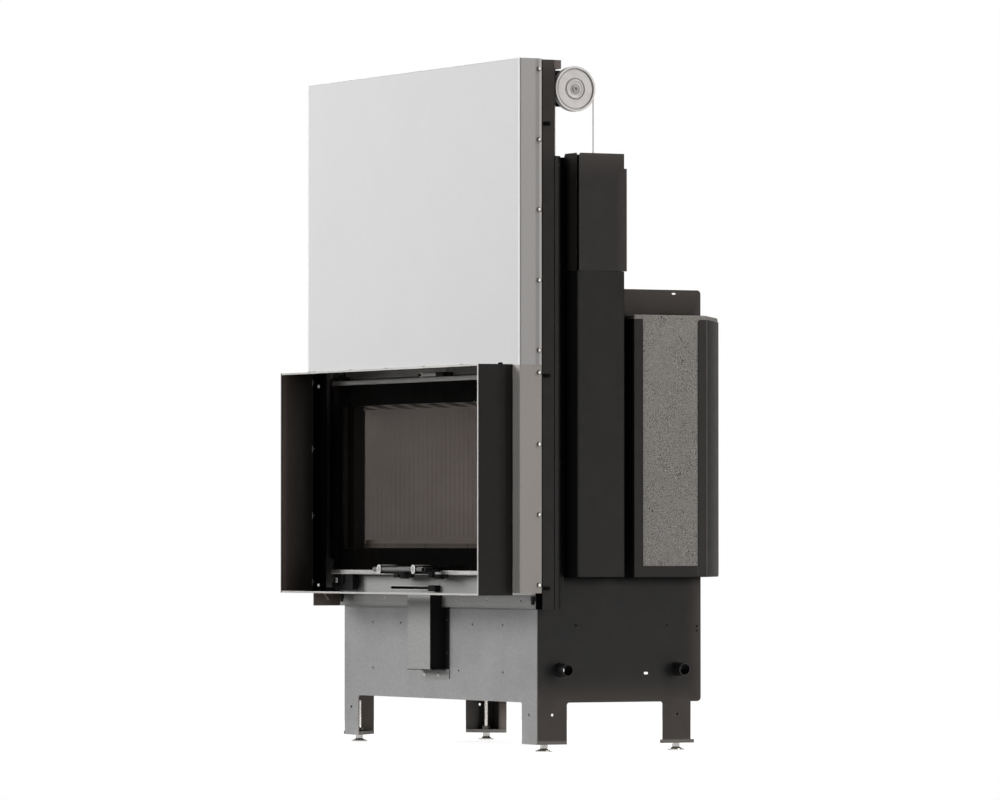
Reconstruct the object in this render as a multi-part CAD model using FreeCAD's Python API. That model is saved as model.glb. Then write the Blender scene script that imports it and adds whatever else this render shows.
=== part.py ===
import FreeCAD, Part
import math
import os

# Lift-door fireplace insert: a steel firebox on a sheet-metal base, with a
# glass door that slides up behind a tall front panel and is balanced by two
# counterweights on cables over pulleys.
# Millimetres, +Z up, +X to the right seen from the front, the front faces -Y.
# Dimensions in Y are first taken from the front panel's outer face (Y = 0
# there); everything is then moved back by Y_SHIFT so that the origin lies on
# the floor at the centre of the whole outline.

V = FreeCAD.Vector

# ---------------------------------------------------------------- dimensions
Y_SHIFT = 262.15           # front panel face to centre of the outline
T = 2.0                    # plate thickness of base and side plates

# base
BASE_HALF = 494.5          # half width over the side plates
BASE_FRONT = 73.5          # front plate, outer face
BASE_CUT_Z = 113.0         # lower edge between the legs
LEG_X = 421.0              # inner edge of the legs in front view
LEG_Z = 25.0               # lower end of the legs (top of the foot plates)
FOOT_PLATE_Z = 17.0
LEG_Y = (152.0, 404.0, 478.0)   # front leg rear edge, rear leg front and rear edge
SIDE_REAR = 505.0          # rear edge of the side plates
SIDE_TOP = 1067.0          # top of the side plates
FOOT_X = 474.0
FOOT_Y = (103.0, 450.0)
STUD_R = 5.0
SLEEVE_Y = (134.0, 441.0)
SLEEVE_Z = 188.0
SLEEVE_OD, SLEEVE_ID, SLEEVE_LEN = 30.0, 24.0, 39.0

# front panel, side strips and surround
PANEL_HALF = 550.0
PANEL_Z0, PANEL_Z1 = 887.0, 1589.0
FLANGE_Y, FLANGE_STEP = 57.0, 41.0
STRIP_Z0, STRIP_Z1 = 365.0, 886.6
SUR_HALF, SUR_Y0 = 515.2, -88.7
SUR_Z0, SUR_Z1 = 360.0, 889.0

# uprights and guides
UP_X0, UP_X1 = 545.0, 547.4
UP_Y0, UP_Y1 = 44.0, 92.0
UP_Z0, UP_Z1 = 328.0, 1587.2
REAR_STRIP_TOP = 1367.0
COVER_Y = 112.6            # rear face of the cable channel covers
BEND_R = 14.0              # bend of the covers
GUIDE_Y0, GUIDE_Y1 = 48.0, 82.0
GUIDE_X0 = 515.0

# door
LIFT = 445.0               # travel of the door
DOOR_HALF = 485.0
DOOR_Z0, DOOR_Z1 = 405.0, 870.0
GLASS_Y0, GLASS_Y1 = 35.0, 39.0
PEG_X, PEG_Z = (-92.0, 86.0), 418.0
BAR_X, BAR_Y, BAR_R = (-128.0, 125.0), -29.6, 5.6
ROLLER_R, ROLLER_Y = 14.7, 65.0
ROLLER_Z = (470.0, 850.0)

# lift
PUL_X, PUL_Y, PUL_Z = 529.0, 152.2, 1523.0
CABLE_R, CABLE_ARC = 1.5, 50.0
ANCHOR_Z = 835.0           # lower end of the front run, at the door
CW_X, CW_Y, CW_Z = (506.0, 552.0), (158.0, 246.4), (1008.0, 1302.0)

# counterweight casing
CAS_X0, CAS_X1 = 494.6, 563.0
CAS_Y0, CAS_Y1 = 143.4, 266.3
CAS_Z0, CAS_ZJ, CAS_Z1 = 402.0, 1104.0, 1375.0

# cladding
CLAD = [(539.0, 304.0), (539.0, 498.0), (389.0, 613.0)]
CLAD_Z0, CLAD_SLAB_TOP, CLAD_FRAME_TOP = 404.0, 1007.0, 997.0

# firebox
LINE_X, LINE_Y0, LINE_Y1 = 430.0, 97.0, 440.0
LINE_CX, LINE_YB = 330.0, 517.0
HEARTH_Z, LINE_TOP = 478.0, 850.0
RIB = 0.8                  # depth of the grooves between the lining's ribs
OPEN_HALF, OPEN_Z0, OPEN_Z1 = 432.0, 466.0, 811.0
FLUE_Y, FLUE_R = 330.0, 125.0
HOOD_Z0, HOOD_Z1, COLLAR_Z1 = 905.0, 1150.0, 1300.0

os.makedirs("parts", exist_ok=True)


# ------------------------------------------------------------------- helpers
def box(x0, x1, y0, y1, z0, z1):
    return Part.makeBox(x1 - x0, y1 - y0, z1 - z0, V(x0, y0, z0))


def cyl_x(x0, x1, y, z, r):
    return Part.makeCylinder(r, x1 - x0, V(x0, y, z), V(1, 0, 0))


def cyl_y(y0, y1, x, z, r):
    return Part.makeCylinder(r, y1 - y0, V(x, y0, z), V(0, 1, 0))


def cyl_z(z0, z1, x, y, r):
    return Part.makeCylinder(r, z1 - z0, V(x, y, z0), V(0, 0, 1))


def mirror(s):
    return s.mirror(V(0, 0, 0), V(1, 0, 0))


def both(s):
    return [s, mirror(s)]


def round_edges(s, r, test):
    es = [e for e in s.Edges if test(e)]
    return s.makeFillet(r, es)


def at(e, **k):
    # an edge whose end points both lie at the given coordinates
    for v in e.Vertexes:
        for n, val in k.items():
            if abs(getattr(v.Point, n) - val) > 1e-4:
                return False
    return True


def prism(pts, z0, z1):
    w = Part.makePolygon([V(x, y, z0) for x, y in pts] + [V(pts[0][0], pts[0][1], z0)])
    return Part.Face(w).extrude(V(0, 0, z1 - z0))


def prism_x(pts, x0, x1):
    w = Part.makePolygon([V(x0, y, z) for y, z in pts] + [V(x0, pts[0][0], pts[0][1])])
    return Part.Face(w).extrude(V(x1 - x0, 0, 0))


def hexagon(x, y, z0, z1, af):
    r = af / math.sqrt(3.0)
    return prism([(x + r * math.cos(math.radians(60 * i)), y + r * math.sin(math.radians(60 * i)))
                  for i in range(6)], z0, z1)


def turned(profile, axis_point, direction, u):
    # profile of (along, radius) pairs turned about the axis
    pts = [V(*axis_point) + direction * a + u * r for a, r in profile]
    w = Part.makePolygon(pts + [pts[0]])
    return Part.Face(w).revolve(V(*axis_point), direction, 360)


def dome(x, y, z, r, h, direction):
    c = Part.makeCylinder(r, h, V(x, y, z), direction)
    tip = V(x, y, z) + direction * h
    es = [e for e in c.Edges if len(e.Vertexes) == 1 and abs((e.Vertexes[0].Point - tip).dot(direction)) < 1e-4]
    return c.makeFillet(min(r, h) * 0.72, es)


def slot_y(x0, x1, y, z, length, width):
    # an oblong hole through a plate whose normal is X
    r = width / 2.0
    s = box(x0, x1, y - length / 2 + r, y + length / 2 - r, z - r, z + r)
    s = s.fuse(cyl_x(x0, x1, y - length / 2 + r, z, r))
    return s.fuse(cyl_x(x0, x1, y + length / 2 - r, z, r))


def emit(name, shapes):
    if not isinstance(shapes, (list, tuple)):
        shapes = [shapes]
    out = []
    for s in shapes:
        s = s.removeSplitter() if hasattr(s, "removeSplitter") else s
        for solid in s.Solids:
            c = solid.copy()
            c.translate(V(0, -Y_SHIFT, 0))
            out.append(c)
    for c in out:
        if not c.isValid() or c.Volume <= 0:
            print("CHECK", name, c.isValid(), c.Volume)
    shape = out[0] if len(out) == 1 else Part.makeCompound(out)
    shape.exportStep("parts/%s.step" % name)
    b = shape.BoundBox
    print("%-26s n=%2d vol=%10.0f  X %.1f..%.1f  Y %.1f..%.1f  Z %.1f..%.1f" % (
        name, len(out), sum(c.Volume for c in out), b.XMin, b.XMax,
        b.YMin + Y_SHIFT, b.YMax + Y_SHIFT, b.ZMin, b.ZMax))


# ---------------------------------------------------------------------- base
# front plate: one sheet with two legs, screw holes
p = box(-BASE_HALF, BASE_HALF, BASE_FRONT, BASE_FRONT + T, FOOT_PLATE_Z, 350)
c = box(-LEG_X, LEG_X, BASE_FRONT - 5, BASE_FRONT + 9, FOOT_PLATE_Z - 9, BASE_CUT_Z)
c = round_edges(c, 6, lambda e: at(e, z=BASE_CUT_Z) and abs(e.Vertexes[0].Point.x - e.Vertexes[-1].Point.x) < 1e-3)
p = p.cut(c)
for hx, hz in [(-341, 290), (-193, 290), (175, 290), (327, 290), (-341, 181), (105, 181), (327, 181),
               (-458, 85), (458, 85)]:
    p = p.cut(cyl_y(BASE_FRONT - 5, BASE_FRONT + 9, hx, hz, 2.6))
emit("base_front_plate", p)


# side plates: legs, sleeve holes, slots, rounded rear corners
def side_plate():
    s = box(BASE_HALF - T, BASE_HALF, BASE_FRONT + T, SIDE_REAR, LEG_Z, SIDE_TOP)
    x0, x1 = BASE_HALF - 9, BASE_HALF + 9
    gap = box(x0, x1, LEG_Y[0], LEG_Y[1], LEG_Z - 9, BASE_CUT_Z)
    gap = round_edges(gap, 6, lambda e: at(e, z=BASE_CUT_Z) and abs(e.Vertexes[0].Point.y - e.Vertexes[-1].Point.y) < 1e-3)
    s = s.cut(gap)
    s = s.cut(box(x0, x1, LEG_Y[2], SIDE_REAR + 9, LEG_Z - 9, BASE_CUT_Z))
    s = round_edges(s, 9.5, lambda e: (at(e, y=SIDE_REAR, z=SIDE_TOP) or at(e, y=SIDE_REAR, z=BASE_CUT_Z)))
    s = s.cut(slot_y(x0, x1, 434, 1058, 11, 4))
    s = s.cut(slot_y(x0, x1, 360, 179, 12, 6))
    for y in SLEEVE_Y:
        s = s.cut(cyl_x(x0, x1, y, SLEEVE_Z, SLEEVE_ID / 2))
    for y in (114, 442):
        s = s.cut(cyl_x(x0, x1, y, 85, 3.3))
    for y in (176, 417):
        s = s.cut(slot_y(x0, x1, y, 290, 8, 4))
    s = s.cut(cyl_x(x0, x1, 442, 131, 2.2))
    return s


sp = side_plate()
emit("side_plate_right", sp)
emit("side_plate_left", mirror(sp))

p = box(-BASE_HALF + T, BASE_HALF - T, LEG_Y[2] - T, LEG_Y[2], LEG_Z, 360)
c = box(-LEG_X, LEG_X, LEG_Y[2] - 9, LEG_Y[2] + 9, LEG_Z - 9, BASE_CUT_Z)
c = round_edges(c, 6, lambda e: at(e, z=BASE_CUT_Z) and abs(e.Vertexes[0].Point.x - e.Vertexes[-1].Point.x) < 1e-3)
p = p.cut(c)
# service opening in the middle of the rear plate
c = box(-300, 300, LEG_Y[2] - 9, LEG_Y[2] + 9, BASE_CUT_Z - 9, 215)
c = round_edges(c, 6, lambda e: at(e, z=215) and abs(e.Vertexes[0].Point.x - e.Vertexes[-1].Point.x) < 1e-3)
emit("base_rear_plate", p.cut(c))

emit("base_deck", box(-BASE_HALF + T, BASE_HALF - T, BASE_FRONT + T, LEG_Y[2] - T, 356, 359))

# foot plates: corner gussets with a welded nut each; the front left one stands out sideways
plates = []
for sx in (-1, 1):
    for k, fy in enumerate(FOOT_Y):
        if k == 0:
            xo = BASE_HALF + (8.5 if sx < 0 else 0.0)
            y0, y1 = BASE_FRONT + T, LEG_Y[0]
            pts = [(xo, y0), (LEG_X, y0), (LEG_X, y0 + 6), (BASE_HALF - 3, y1), (xo, y1)]
        else:
            y0, y1 = (LEG_Y[1], LEG_Y[2]) if sx < 0 else (LEG_Y[1] - 5, LEG_Y[2] + 9)
            pts = [(BASE_HALF, y0), (BASE_HALF - 4, y0), (LEG_X, y1 - 12), (LEG_X, y1), (BASE_HALF, y1)]
        q = prism([(sx * x, y) for x, y in pts], FOOT_PLATE_Z, LEG_Z)
        q = q.fuse(hexagon(sx * FOOT_X, fy, LEG_Z, LEG_Z + 8, 17))
        plates.append(q.cut(cyl_z(0, 60, sx * FOOT_X, fy, STUD_R + 0.06)))
emit("foot_plates", plates)

# levelling feet: stud, hexagon collar, cone and disc in one piece
for sx, side in ((-1, "left"), (1, "right")):
    for fy, end in zip(FOOT_Y, ("front", "rear")):
        prof = [(0, 0), (0, 19.5), (2.2, 20.0), (3.2, 19.2), (4.6, 14.0), (7.6, 8.4), (8.4, 8.0), (8.4, 5.0),
                (98.6, 5.0), (100, 3.8), (100, 0)]
        f = turned(prof, (sx * FOOT_X, fy, 0), V(0, 0, 1), V(1, 0, 0))
        h = hexagon(sx * FOOT_X, fy, 8.2, 16.4, 15).fuse(f)
        emit("levelling_foot_%s_%s" % (end, side), h)

# carrying-bar sleeves on the sides
sl = []
for y in SLEEVE_Y:
    s = cyl_x(BASE_HALF, BASE_HALF + SLEEVE_LEN, y, SLEEVE_Z, SLEEVE_OD / 2)
    s = round_edges(s, 1.6, lambda e: len(e.Vertexes) == 1 and abs(e.Vertexes[0].Point.x - BASE_HALF - SLEEVE_LEN) < 1e-3)
    col = Part.makeCone(17.2, 15.2, 6.0, V(BASE_HALF, y, SLEEVE_Z), V(1, 0, 0))
    s = s.fuse(col).cut(cyl_x(BASE_HALF - 1, BASE_HALF + 60, y, SLEEVE_Z, SLEEVE_ID / 2))
    sl += both(s)
emit("carrying_sleeves", sl)

# duct box on the base front
b = box(-82, 35, 35, 73.4, 182.5, 328.4).fuse(box(-82, 35, 35, 65.4, 328.4, 357))
b = b.cut(box(-80.4, 33.4, 36.6, 90, 170, 360))
b = b.fuse(box(-84, 44, 33.6, 73.4, 181, 182.6))
b = b.fuse(box(33.4, 59, 71.8, 73.4, 162, 328.4))
b = b.fuse(box(-104, 59, 71.8, 73.4, 162, 182))
emit("air_inlet_box", b)

# ------------------------------------------------------------- front of firebox
s1 = box(-503.5, 503.5, 65.6, 67.6, 329, 404).fuse(box(-503.5, 503.5, 65.6, BASE_FRONT, 329, 331))
s1 = s1.cut(box(-231, 27, 60, 70, 370.3, 376.9))
for hx in (-422, -263, 109, 264, 431):
    s1 = s1.cut(cyl_y(60, 70, hx, 347, 2.6))
s2 = box(-480, 480, 67.6, 69.6, 866.3, 905)
emit("front_strips", [s1, s2])

ff = box(-492, 492, 67.6, 70.6, 404, 866).cut(box(-OPEN_HALF, OPEN_HALF, 60, 80, OPEN_Z0, OPEN_Z1))
jamb = box(-OPEN_HALF - 3, OPEN_HALF + 3, 70.6, 95, OPEN_Z0 - 3, OPEN_Z1 + 3)
jamb = jamb.cut(box(-OPEN_HALF, OPEN_HALF, 60, 100, OPEN_Z0, OPEN_Z1))
emit("firebox_front_frame", ff.fuse(jamb))

emit("seal_rope", cyl_x(-OPEN_HALF + 1, OPEN_HALF - 1, 79, OPEN_Z1 - 7.05, 7.0))

# -------------------------------------------------------------------- surround
s = box(-SUR_HALF, SUR_HALF, SUR_Y0 + 2, 0, SUR_Z0, SUR_Z1)
s = s.cut(box(-SUR_HALF + T, SUR_HALF - T, SUR_Y0, 5, SUR_Z0 + T, SUR_Z1 - T))
for q in both(box(450, SUR_HALF - T, -2, 0, SUR_Z0 + T, SUR_Z1 - T)):
    s = s.fuse(q)
emit("surround_shell", s)
t = box(-SUR_HALF, SUR_HALF, SUR_Y0, SUR_Y0 + 2, SUR_Z0, SUR_Z1)
t = t.cut(box(-SUR_HALF + 5.4, SUR_HALF - 5.4, SUR_Y0 - 5, SUR_Y0 + 9, SUR_Z0 + 4.6, SUR_Z1 - 4.2))
emit("surround_edge_trim", t)

# ----------------------------------------------------- front panel, side strips
def flange_cut(s, z0, z1, x_in):
    s = s.cut(box(x_in, PANEL_HALF - 1.7, 1.5, FLANGE_STEP, z0, z1))
    s = s.cut(box(x_in, PANEL_HALF - 2.5, FLANGE_STEP - 0.1, FLANGE_Y + 1, z0, z1))
    return s.cut(box(PANEL_HALF - 0.8, PANEL_HALF + 5, FLANGE_STEP, FLANGE_Y + 1, z0 - 50, z1 + 50))


s = box(-PANEL_HALF, PANEL_HALF, 0, FLANGE_Y, PANEL_Z0, PANEL_Z1)
s = round_edges(s, 2.4, lambda e: at(e, x=PANEL_HALF, y=0) or at(e, x=-PANEL_HALF, y=0) or at(e, y=0, z=PANEL_Z1))
s = flange_cut(s, PANEL_Z0 - 1, PANEL_Z1 - 1.5, 0)
s = mirror(flange_cut(mirror(s), PANEL_Z0 - 1, PANEL_Z1 - 1.5, 0))
emit("front_panel", s)

s = box(SUR_HALF + 0.3, PANEL_HALF, 0, FLANGE_Y, STRIP_Z0, STRIP_Z1)
s = round_edges(s, 2.4, lambda e: at(e, x=PANEL_HALF, y=0))
s = flange_cut(s, STRIP_Z0 - 1, STRIP_Z1 + 1, SUR_HALF)
emit("lower_side_strips", both(s))

# ------------------------------------------------------------ uprights, guides
def upright(front_tab):
    s = box(UP_X0, UP_X1, UP_Y0, UP_Y1, UP_Z0, UP_Z1)
    if front_tab:
        s = s.fuse(box(UP_X0, UP_X1, 15, UP_Y0 + 1, UP_Z0, 360))
    web = box(496.6, UP_X1, UP_Y1 - 2.4, UP_Y1, UP_Z0, REAR_STRIP_TOP)
    web = web.cut(box(519, 539, 80, 100, ANCHOR_Z - 35, ANCHOR_Z + LIFT + 40))
    s = s.fuse(web).fuse(box(533, UP_X1, UP_Y1 - 2.4, UP_Y1, REAR_STRIP_TOP - 1, UP_Z1))
    s = s.fuse(box(494.6, 496.6, UP_Y1 - 2.4, 121, UP_Z0, REAR_STRIP_TOP))
    s = s.removeSplitter()
    return round_edges(s, 2.2, lambda e: at(e, x=UP_X1, y=UP_Y1))


emit("upright_right", upright(False))
emit("upright_left", mirror(upright(True)))

g = box(GUIDE_X0, UP_X0, GUIDE_Y0, GUIDE_Y1, 372, 1580)
g = g.cut(box(GUIDE_X0 - 5, UP_X0 - 2.5, GUIDE_Y0 + 2, GUIDE_Y1 - 2, 330, 1600))
emit("guide_channels", both(g))

c = box(-UP_X0, UP_X0, UP_Y1, 110, 1567, UP_Z1)
c = c.cut(box(-UP_X0 + T, UP_X0 - T, UP_Y1 + T, 110 - T, 1560, UP_Z1 - T))
emit("top_crossbar", c)

# covers over the cable channels behind the uprights, with a wide bend at the rear
bx, by = UP_X1 - 0.8, COVER_Y
r = box(497, bx, 97.5, by, UP_Z0, REAR_STRIP_TOP)
r = round_edges(r, BEND_R, lambda e: at(e, x=bx, y=by))
w = box(490, bx - 2.4, 90, by - 2.2, UP_Z0 - 5, REAR_STRIP_TOP + 5)
r = r.cut(round_edges(w, BEND_R - 2.2, lambda e: at(e, x=bx - 2.4, y=by - 2.2)))
r = r.fuse(box(UP_X0, UP_X1, UP_Y1 + 0.3, 98, UP_Z0, REAR_STRIP_TOP))
# strips between the side plates and the casings
q = box(494.6, 496.6, 121.3, 143.2, UP_Z0, REAR_STRIP_TOP).fuse(box(494.6, 503, 121.3, 123.3, UP_Z0, REAR_STRIP_TOP))
emit("rear_strips", both(r.removeSplitter()) + both(q.removeSplitter()))

# --------------------------------------------------------- counterweight casing
cx0, cx1, cy0, cy1 = CAS_X0, CAS_X1, CAS_Y0, CAS_Y1


def corner(e):
    return at(e, x=cx1, y=cy0) or at(e, x=cx1, y=cy1)


s = round_edges(box(cx0, cx1, cy0, cy1, CAS_Z0, CAS_ZJ), 3.0, corner)
s = s.cut(box(cx0 + 1.5, cx1 - 1.5, cy0 + 1.5, cy1 - 1.5, CAS_Z0 + 1.5, CAS_ZJ + 5))
emit("counterweight_casings", both(s))

s = round_edges(box(cx0, cx1, cy0, cy1, CAS_ZJ + 0.6, CAS_Z1), 3.0, corner)
s = s.cut(box(cx0 + 1.5, cx1 - 1.5, cy0 + 1.5, cy1 - 1.5, CAS_ZJ - 5, CAS_Z1 + 5))
lid = box(cx0 + 1.4, cx1 - 1.4, cy0 + 1.4, cy1 - 1.4, 1361.5, 1363.2).cut(cyl_z(1300, 1400, PUL_X, PUL_Y + CABLE_ARC, 9))
s = s.fuse(lid)
for x in (cx0, cx1):
    s = s.cut(Part.makeCone(0.0, 8.0, 12.5, V(x, cy0, 1363.4), V(0, 0, 1)))
s = s.fuse(box(558.6, 561.6, cy1 - 1, 272.8, CAS_ZJ + 0.6, 1341))
for z0, z1 in ((1295, 1315), (1140, 1156)):
    s = s.fuse(box(555.5, 559.5, cy0 - 1.2, cy0 + 1, z0, z1))
emit("counterweight_covers", both(s))

# ------------------------------------------------------------------- cladding
A, B, C = [V(x, y, 0) for x, y in CLAD]
n2 = V(C.y - B.y, B.x - C.x, 0)
n2.normalize()                       # outward normal of the chamfer
d2 = (C - B)
d2.normalize()

# side frames: front end, face strips, bottom strip, chamfer plate in one bent sheet
fr = box(537, 539, A.y, A.y + 24, CLAD_Z0, CLAD_FRAME_TOP)
fr = fr.fuse(box(494.6, 539, A.y, A.y + 2, CLAD_Z0, CLAD_FRAME_TOP))
fr = fr.fuse(box(537, 539, B.y - 24, B.y, CLAD_Z0, CLAD_FRAME_TOP))
fr = fr.fuse(box(537, 539, A.y, B.y, CLAD_Z0, CLAD_Z0 + 23))
fr = fr.removeSplitter()
fr = round_edges(fr, 6, lambda e: (at(e, y=A.y + 24, z=CLAD_FRAME_TOP) or at(e, y=B.y - 24, z=CLAD_FRAME_TOP)))
fr = round_edges(fr, 1.8, lambda e: at(e, x=539, y=A.y))
pl = [B, B + d2 * (C - B).Length, C - n2 * 2, B - n2 * 2 - V(0.0, 0.0, 0)]
ch = prism([(q.x, q.y) for q in pl], CLAD_Z0, CLAD_FRAME_TOP)
fr = fr.fuse(ch).removeSplitter()
emit("cladding_side_frames", both(fr))

# side slabs with eased top edges
sb = box(498, 536.9, A.y + 2.2, 496, CLAD_Z0 + 0.2, CLAD_SLAB_TOP)
sb = round_edges(sb, 4, lambda e: at(e, z=CLAD_SLAB_TOP) and (at(e, x=536.9) or at(e, y=A.y + 2.2)))
emit("cladding_side_slabs", both(sb))

# rear slabs: the two chamfers and two halves of the back
o, i = 2.2, 19.5
pts = [B - n2 * o, C - n2 * o, C - n2 * i, B - n2 * i]
cs = prism([(q.x, q.y) for q in pts], CLAD_Z0 + 0.2, CLAD_SLAB_TOP)
cs = cs.common(box(389.5, 600, 497, 640, 0, 2000))
cs = round_edges(cs, 3, lambda e: at(e, z=CLAD_SLAB_TOP) and all(abs((q.Point - B).dot(n2) + o) < 1e-3 for q in e.Vertexes))
rs = box(1.0, 388.5, 572, 610.8, CLAD_Z0 + 0.2, CLAD_SLAB_TOP)
rs = round_edges(rs, 4, lambda e: at(e, z=CLAD_SLAB_TOP) and at(e, y=610.8))
emit("cladding_rear_slabs", both(cs) + both(rs))

rf = box(-387.0, 387.0, 611, 613, CLAD_Z0, CLAD_Z0 + 23)
for x0, x1 in ((-387.0, -364), (-20, 20), (364, 387.0)):
    rf = rf.fuse(box(x0, x1, 611, 613, CLAD_Z0, CLAD_FRAME_TOP))
emit("cladding_rear_frame", rf.removeSplitter())

sh = prism([(538, A.y + 1), (538, B.y), (388.5, 612), (-388.5, 612), (-538, B.y), (-538, A.y + 1)], 401, 403.9)
sh = sh.cut(box(-494.7, 494.7, 0, 505.2, 390, 420))
emit("cladding_shelf", sh)

# -------------------------------------------------------------------- firebox
def outline(off):
    # half outline of the lining's face, moved outwards by off
    k = V(LINE_CX - LINE_X, LINE_YB - LINE_Y1, 0)
    k.normalize()
    n = V(k.y, -k.x, 0)
    # corner of the side and the chamfer
    p1 = V(LINE_X, LINE_Y1, 0) + n * off
    t1 = (LINE_X + off - p1.x) / k.x
    q1 = p1 + k * t1
    # corner of the chamfer and the back
    t2 = (LINE_YB + off - p1.y) / k.y
    q2 = p1 + k * t2
    return [(LINE_X + off, None), (q1.x, q1.y), (q2.x, q2.y)]


def plan(off, y0):
    a, q1, q2 = outline(off)
    return [(a[0], y0), q1, q2, (-q2[0], q2[1]), (-q1[0], q1[1]), (-a[0], y0)]


sh = prism(plan(29, 95.2), 440, HOOD_Z0).cut(prism(plan(25.3, 90), 444, HOOD_Z0 + 5))
emit("firebox_shell", sh)


def ribbed(p0, p1, thick, z0, z1, pitch):
    # a lining slab whose visible face runs from p0 to p1, with upright ribs
    a, b = V(p0[0], p0[1], 0), V(p1[0], p1[1], 0)
    d = b - a
    length = d.Length
    d.normalize()
    out = V(d.y, -d.x, 0)
    n = max(3, int(round((length - 6) / pitch)))
    step = (length - 6) / n
    pts = [a, a + d * 3]
    for k in range(n):
        s = 3 + k * step
        pts += [a + d * (s + 0.26 * step), a + d * (s + 0.50 * step) + out * RIB,
                a + d * (s + 0.76 * step) + out * RIB, a + d * (s + step)]
    pts += [b, b + out * thick, a + out * thick]
    return prism([(q.x, q.y) for q in pts], z0, z1)


z0, z1 = HEARTH_Z + 0.2, LINE_TOP
side = ribbed((LINE_X, LINE_Y0), (LINE_X, LINE_Y1 - 2), 25, z0, z1, 12.2)
k = V(LINE_CX - LINE_X, LINE_YB - LINE_Y1, 0)
k.normalize()
chm = ribbed((LINE_X + k.x * 2, LINE_Y1 + k.y * 2), (LINE_CX - k.x * 2, LINE_YB - k.y * 2), 25, z0, z1, 12.2)
back = ribbed((LINE_CX - 2, LINE_YB), (-LINE_CX + 2, LINE_YB), 25, z0, z1, 12.2)
emit("lining_panels", both(side) + both(chm) + [back])

h = prism(plan(25, 96), 444.2, HEARTH_Z)
h = h.fuse(box(-LINE_X + 2, LINE_X - 2, 99, 113, HEARTH_Z - 1, HEARTH_Z + 9)).cut(box(-300, 300, 200, 420, HEARTH_Z - 5, HEARTH_Z + 1))
emit("hearth_plate", h.removeSplitter())

emit("smoke_baffle", box(-450, 450, 200, 436, LINE_TOP, LINE_TOP + 22))


def hood(base, top_r):
    cx, cy = 0.0, FLUE_Y
    pts = []
    m = len(base)
    for a in range(m):
        p0, p1 = base[a], base[(a + 1) % m]
        for f in (0.0, 0.25, 0.5, 0.75):
            pts.append((p0[0] + (p1[0] - p0[0]) * f, p0[1] + (p1[1] - p0[1]) * f))
    top = []
    for x, y in pts:
        a = math.atan2(y - cy, x - cx)
        top.append((cx + top_r * math.cos(a), cy + top_r * math.sin(a)))
    return pts, top


def loft(base, top_r, z0, z1):
    lo, hi = hood(base, top_r)
    w0 = Part.makePolygon([V(x, y, z0) for x, y in lo + lo[:1]])
    w1 = Part.makePolygon([V(x, y, z1) for x, y in hi + hi[:1]])
    return Part.makeLoft([w0, w1], True, True)


outer = loft(plan(29, 95.2), FLUE_R + 4.5, HOOD_Z0 + 0.2, HOOD_Z1)
inner = loft(plan(25.5, 98.7), FLUE_R + 1.0, HOOD_Z0 - 0.5, HOOD_Z1 + 0.5)
emit("smoke_hood", outer.cut(inner))

col = cyl_z(HOOD_Z1, COLLAR_Z1, 0, FLUE_Y, FLUE_R + 3).fuse(cyl_z(HOOD_Z1, HOOD_Z1 + 4, 0, FLUE_Y, FLUE_R + 9))
col = col.fuse(cyl_z(COLLAR_Z1 - 46, COLLAR_Z1 - 40, 0, FLUE_Y, FLUE_R + 6))
emit("flue_collar", col.cut(cyl_z(HOOD_Z1 - 5, COLLAR_Z1 + 5, 0, FLUE_Y, FLUE_R)))

# ----------------------------------------------------------------------- lift
X = V(1, 0, 0)
prof = [(-8, 13.05), (-8, 22), (-6, 22.6), (-6, 44), (-8, 46), (-8, 51.4), (-7.4, 52), (-4.5, 52), (-1.8, 48.4),
        (1.8, 48.4), (4.5, 52), (7.2, 52), (8, 51.2), (8, 47.4), (7.2, 46.6), (3.4, 46.2), (3.4, 44.8), (5.3, 44.2),
        (5.3, 25.4), (2.8, 24.8), (2.8, 22.6), (6.6, 22.0), (7.0, 21.4), (7.0, 18.6), (6.2, 17.8), (5.6, 16.4), (5.6, 13.05)]
for sx, side in ((1, "right"), (-1, "left")):
    emit("pulley_%s" % side, turned(prof, (sx * PUL_X, PUL_Y, PUL_Z), X * sx, V(0, 0, 1)))

br = box(513, 518, UP_Y1, 170, 1482, 1565)
br = round_edges(br, 12, lambda e: at(e, y=170, z=1482) or at(e, y=170, z=1565))
br = br.fuse(box(513, UP_X0, UP_Y1, 95, 1482, 1565)).removeSplitter()
emit("pulley_brackets", both(br))

ax = cyl_x(518, PUL_X + 5.9, PUL_Y, PUL_Z, 13.0).fuse(cyl_x(520, PUL_X + 9.2, PUL_Y, PUL_Z, 7.0))
hexs = [(PUL_Y + 3.6 * math.cos(math.radians(60 * q)), PUL_Z + 3.6 * math.sin(math.radians(60 * q))) for q in range(6)]
ax = ax.cut(prism_x(hexs, PUL_X + 5.2, PUL_X + 20))
emit("pulley_axles", both(ax))

yf, yr = PUL_Y - CABLE_ARC, PUL_Y + CABLE_ARC
cw_top = CW_Z[1]
e1 = Part.LineSegment(V(PUL_X, yf, ANCHOR_Z), V(PUL_X, yf, PUL_Z)).toShape()
e2 = Part.Arc(V(PUL_X, yf, PUL_Z), V(PUL_X, PUL_Y, PUL_Z + CABLE_ARC), V(PUL_X, yr, PUL_Z)).toShape()
e3 = Part.LineSegment(V(PUL_X, yr, PUL_Z), V(PUL_X, yr, cw_top - 16)).toShape()
path = Part.Wire([e1, e2, e3])
ring = Part.Wire([Part.makeCircle(CABLE_R, V(PUL_X, yf, ANCHOR_Z), V(0, 0, 1))])
cab = path.makePipeShell([ring], True, True)
length = sum(e.Length for e in path.Edges)
print("cable length %.1f  volume %.1f  expected %.1f" % (length, cab.Volume, length * math.pi * CABLE_R ** 2))
emit("lift_cables", both(cab))

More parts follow.
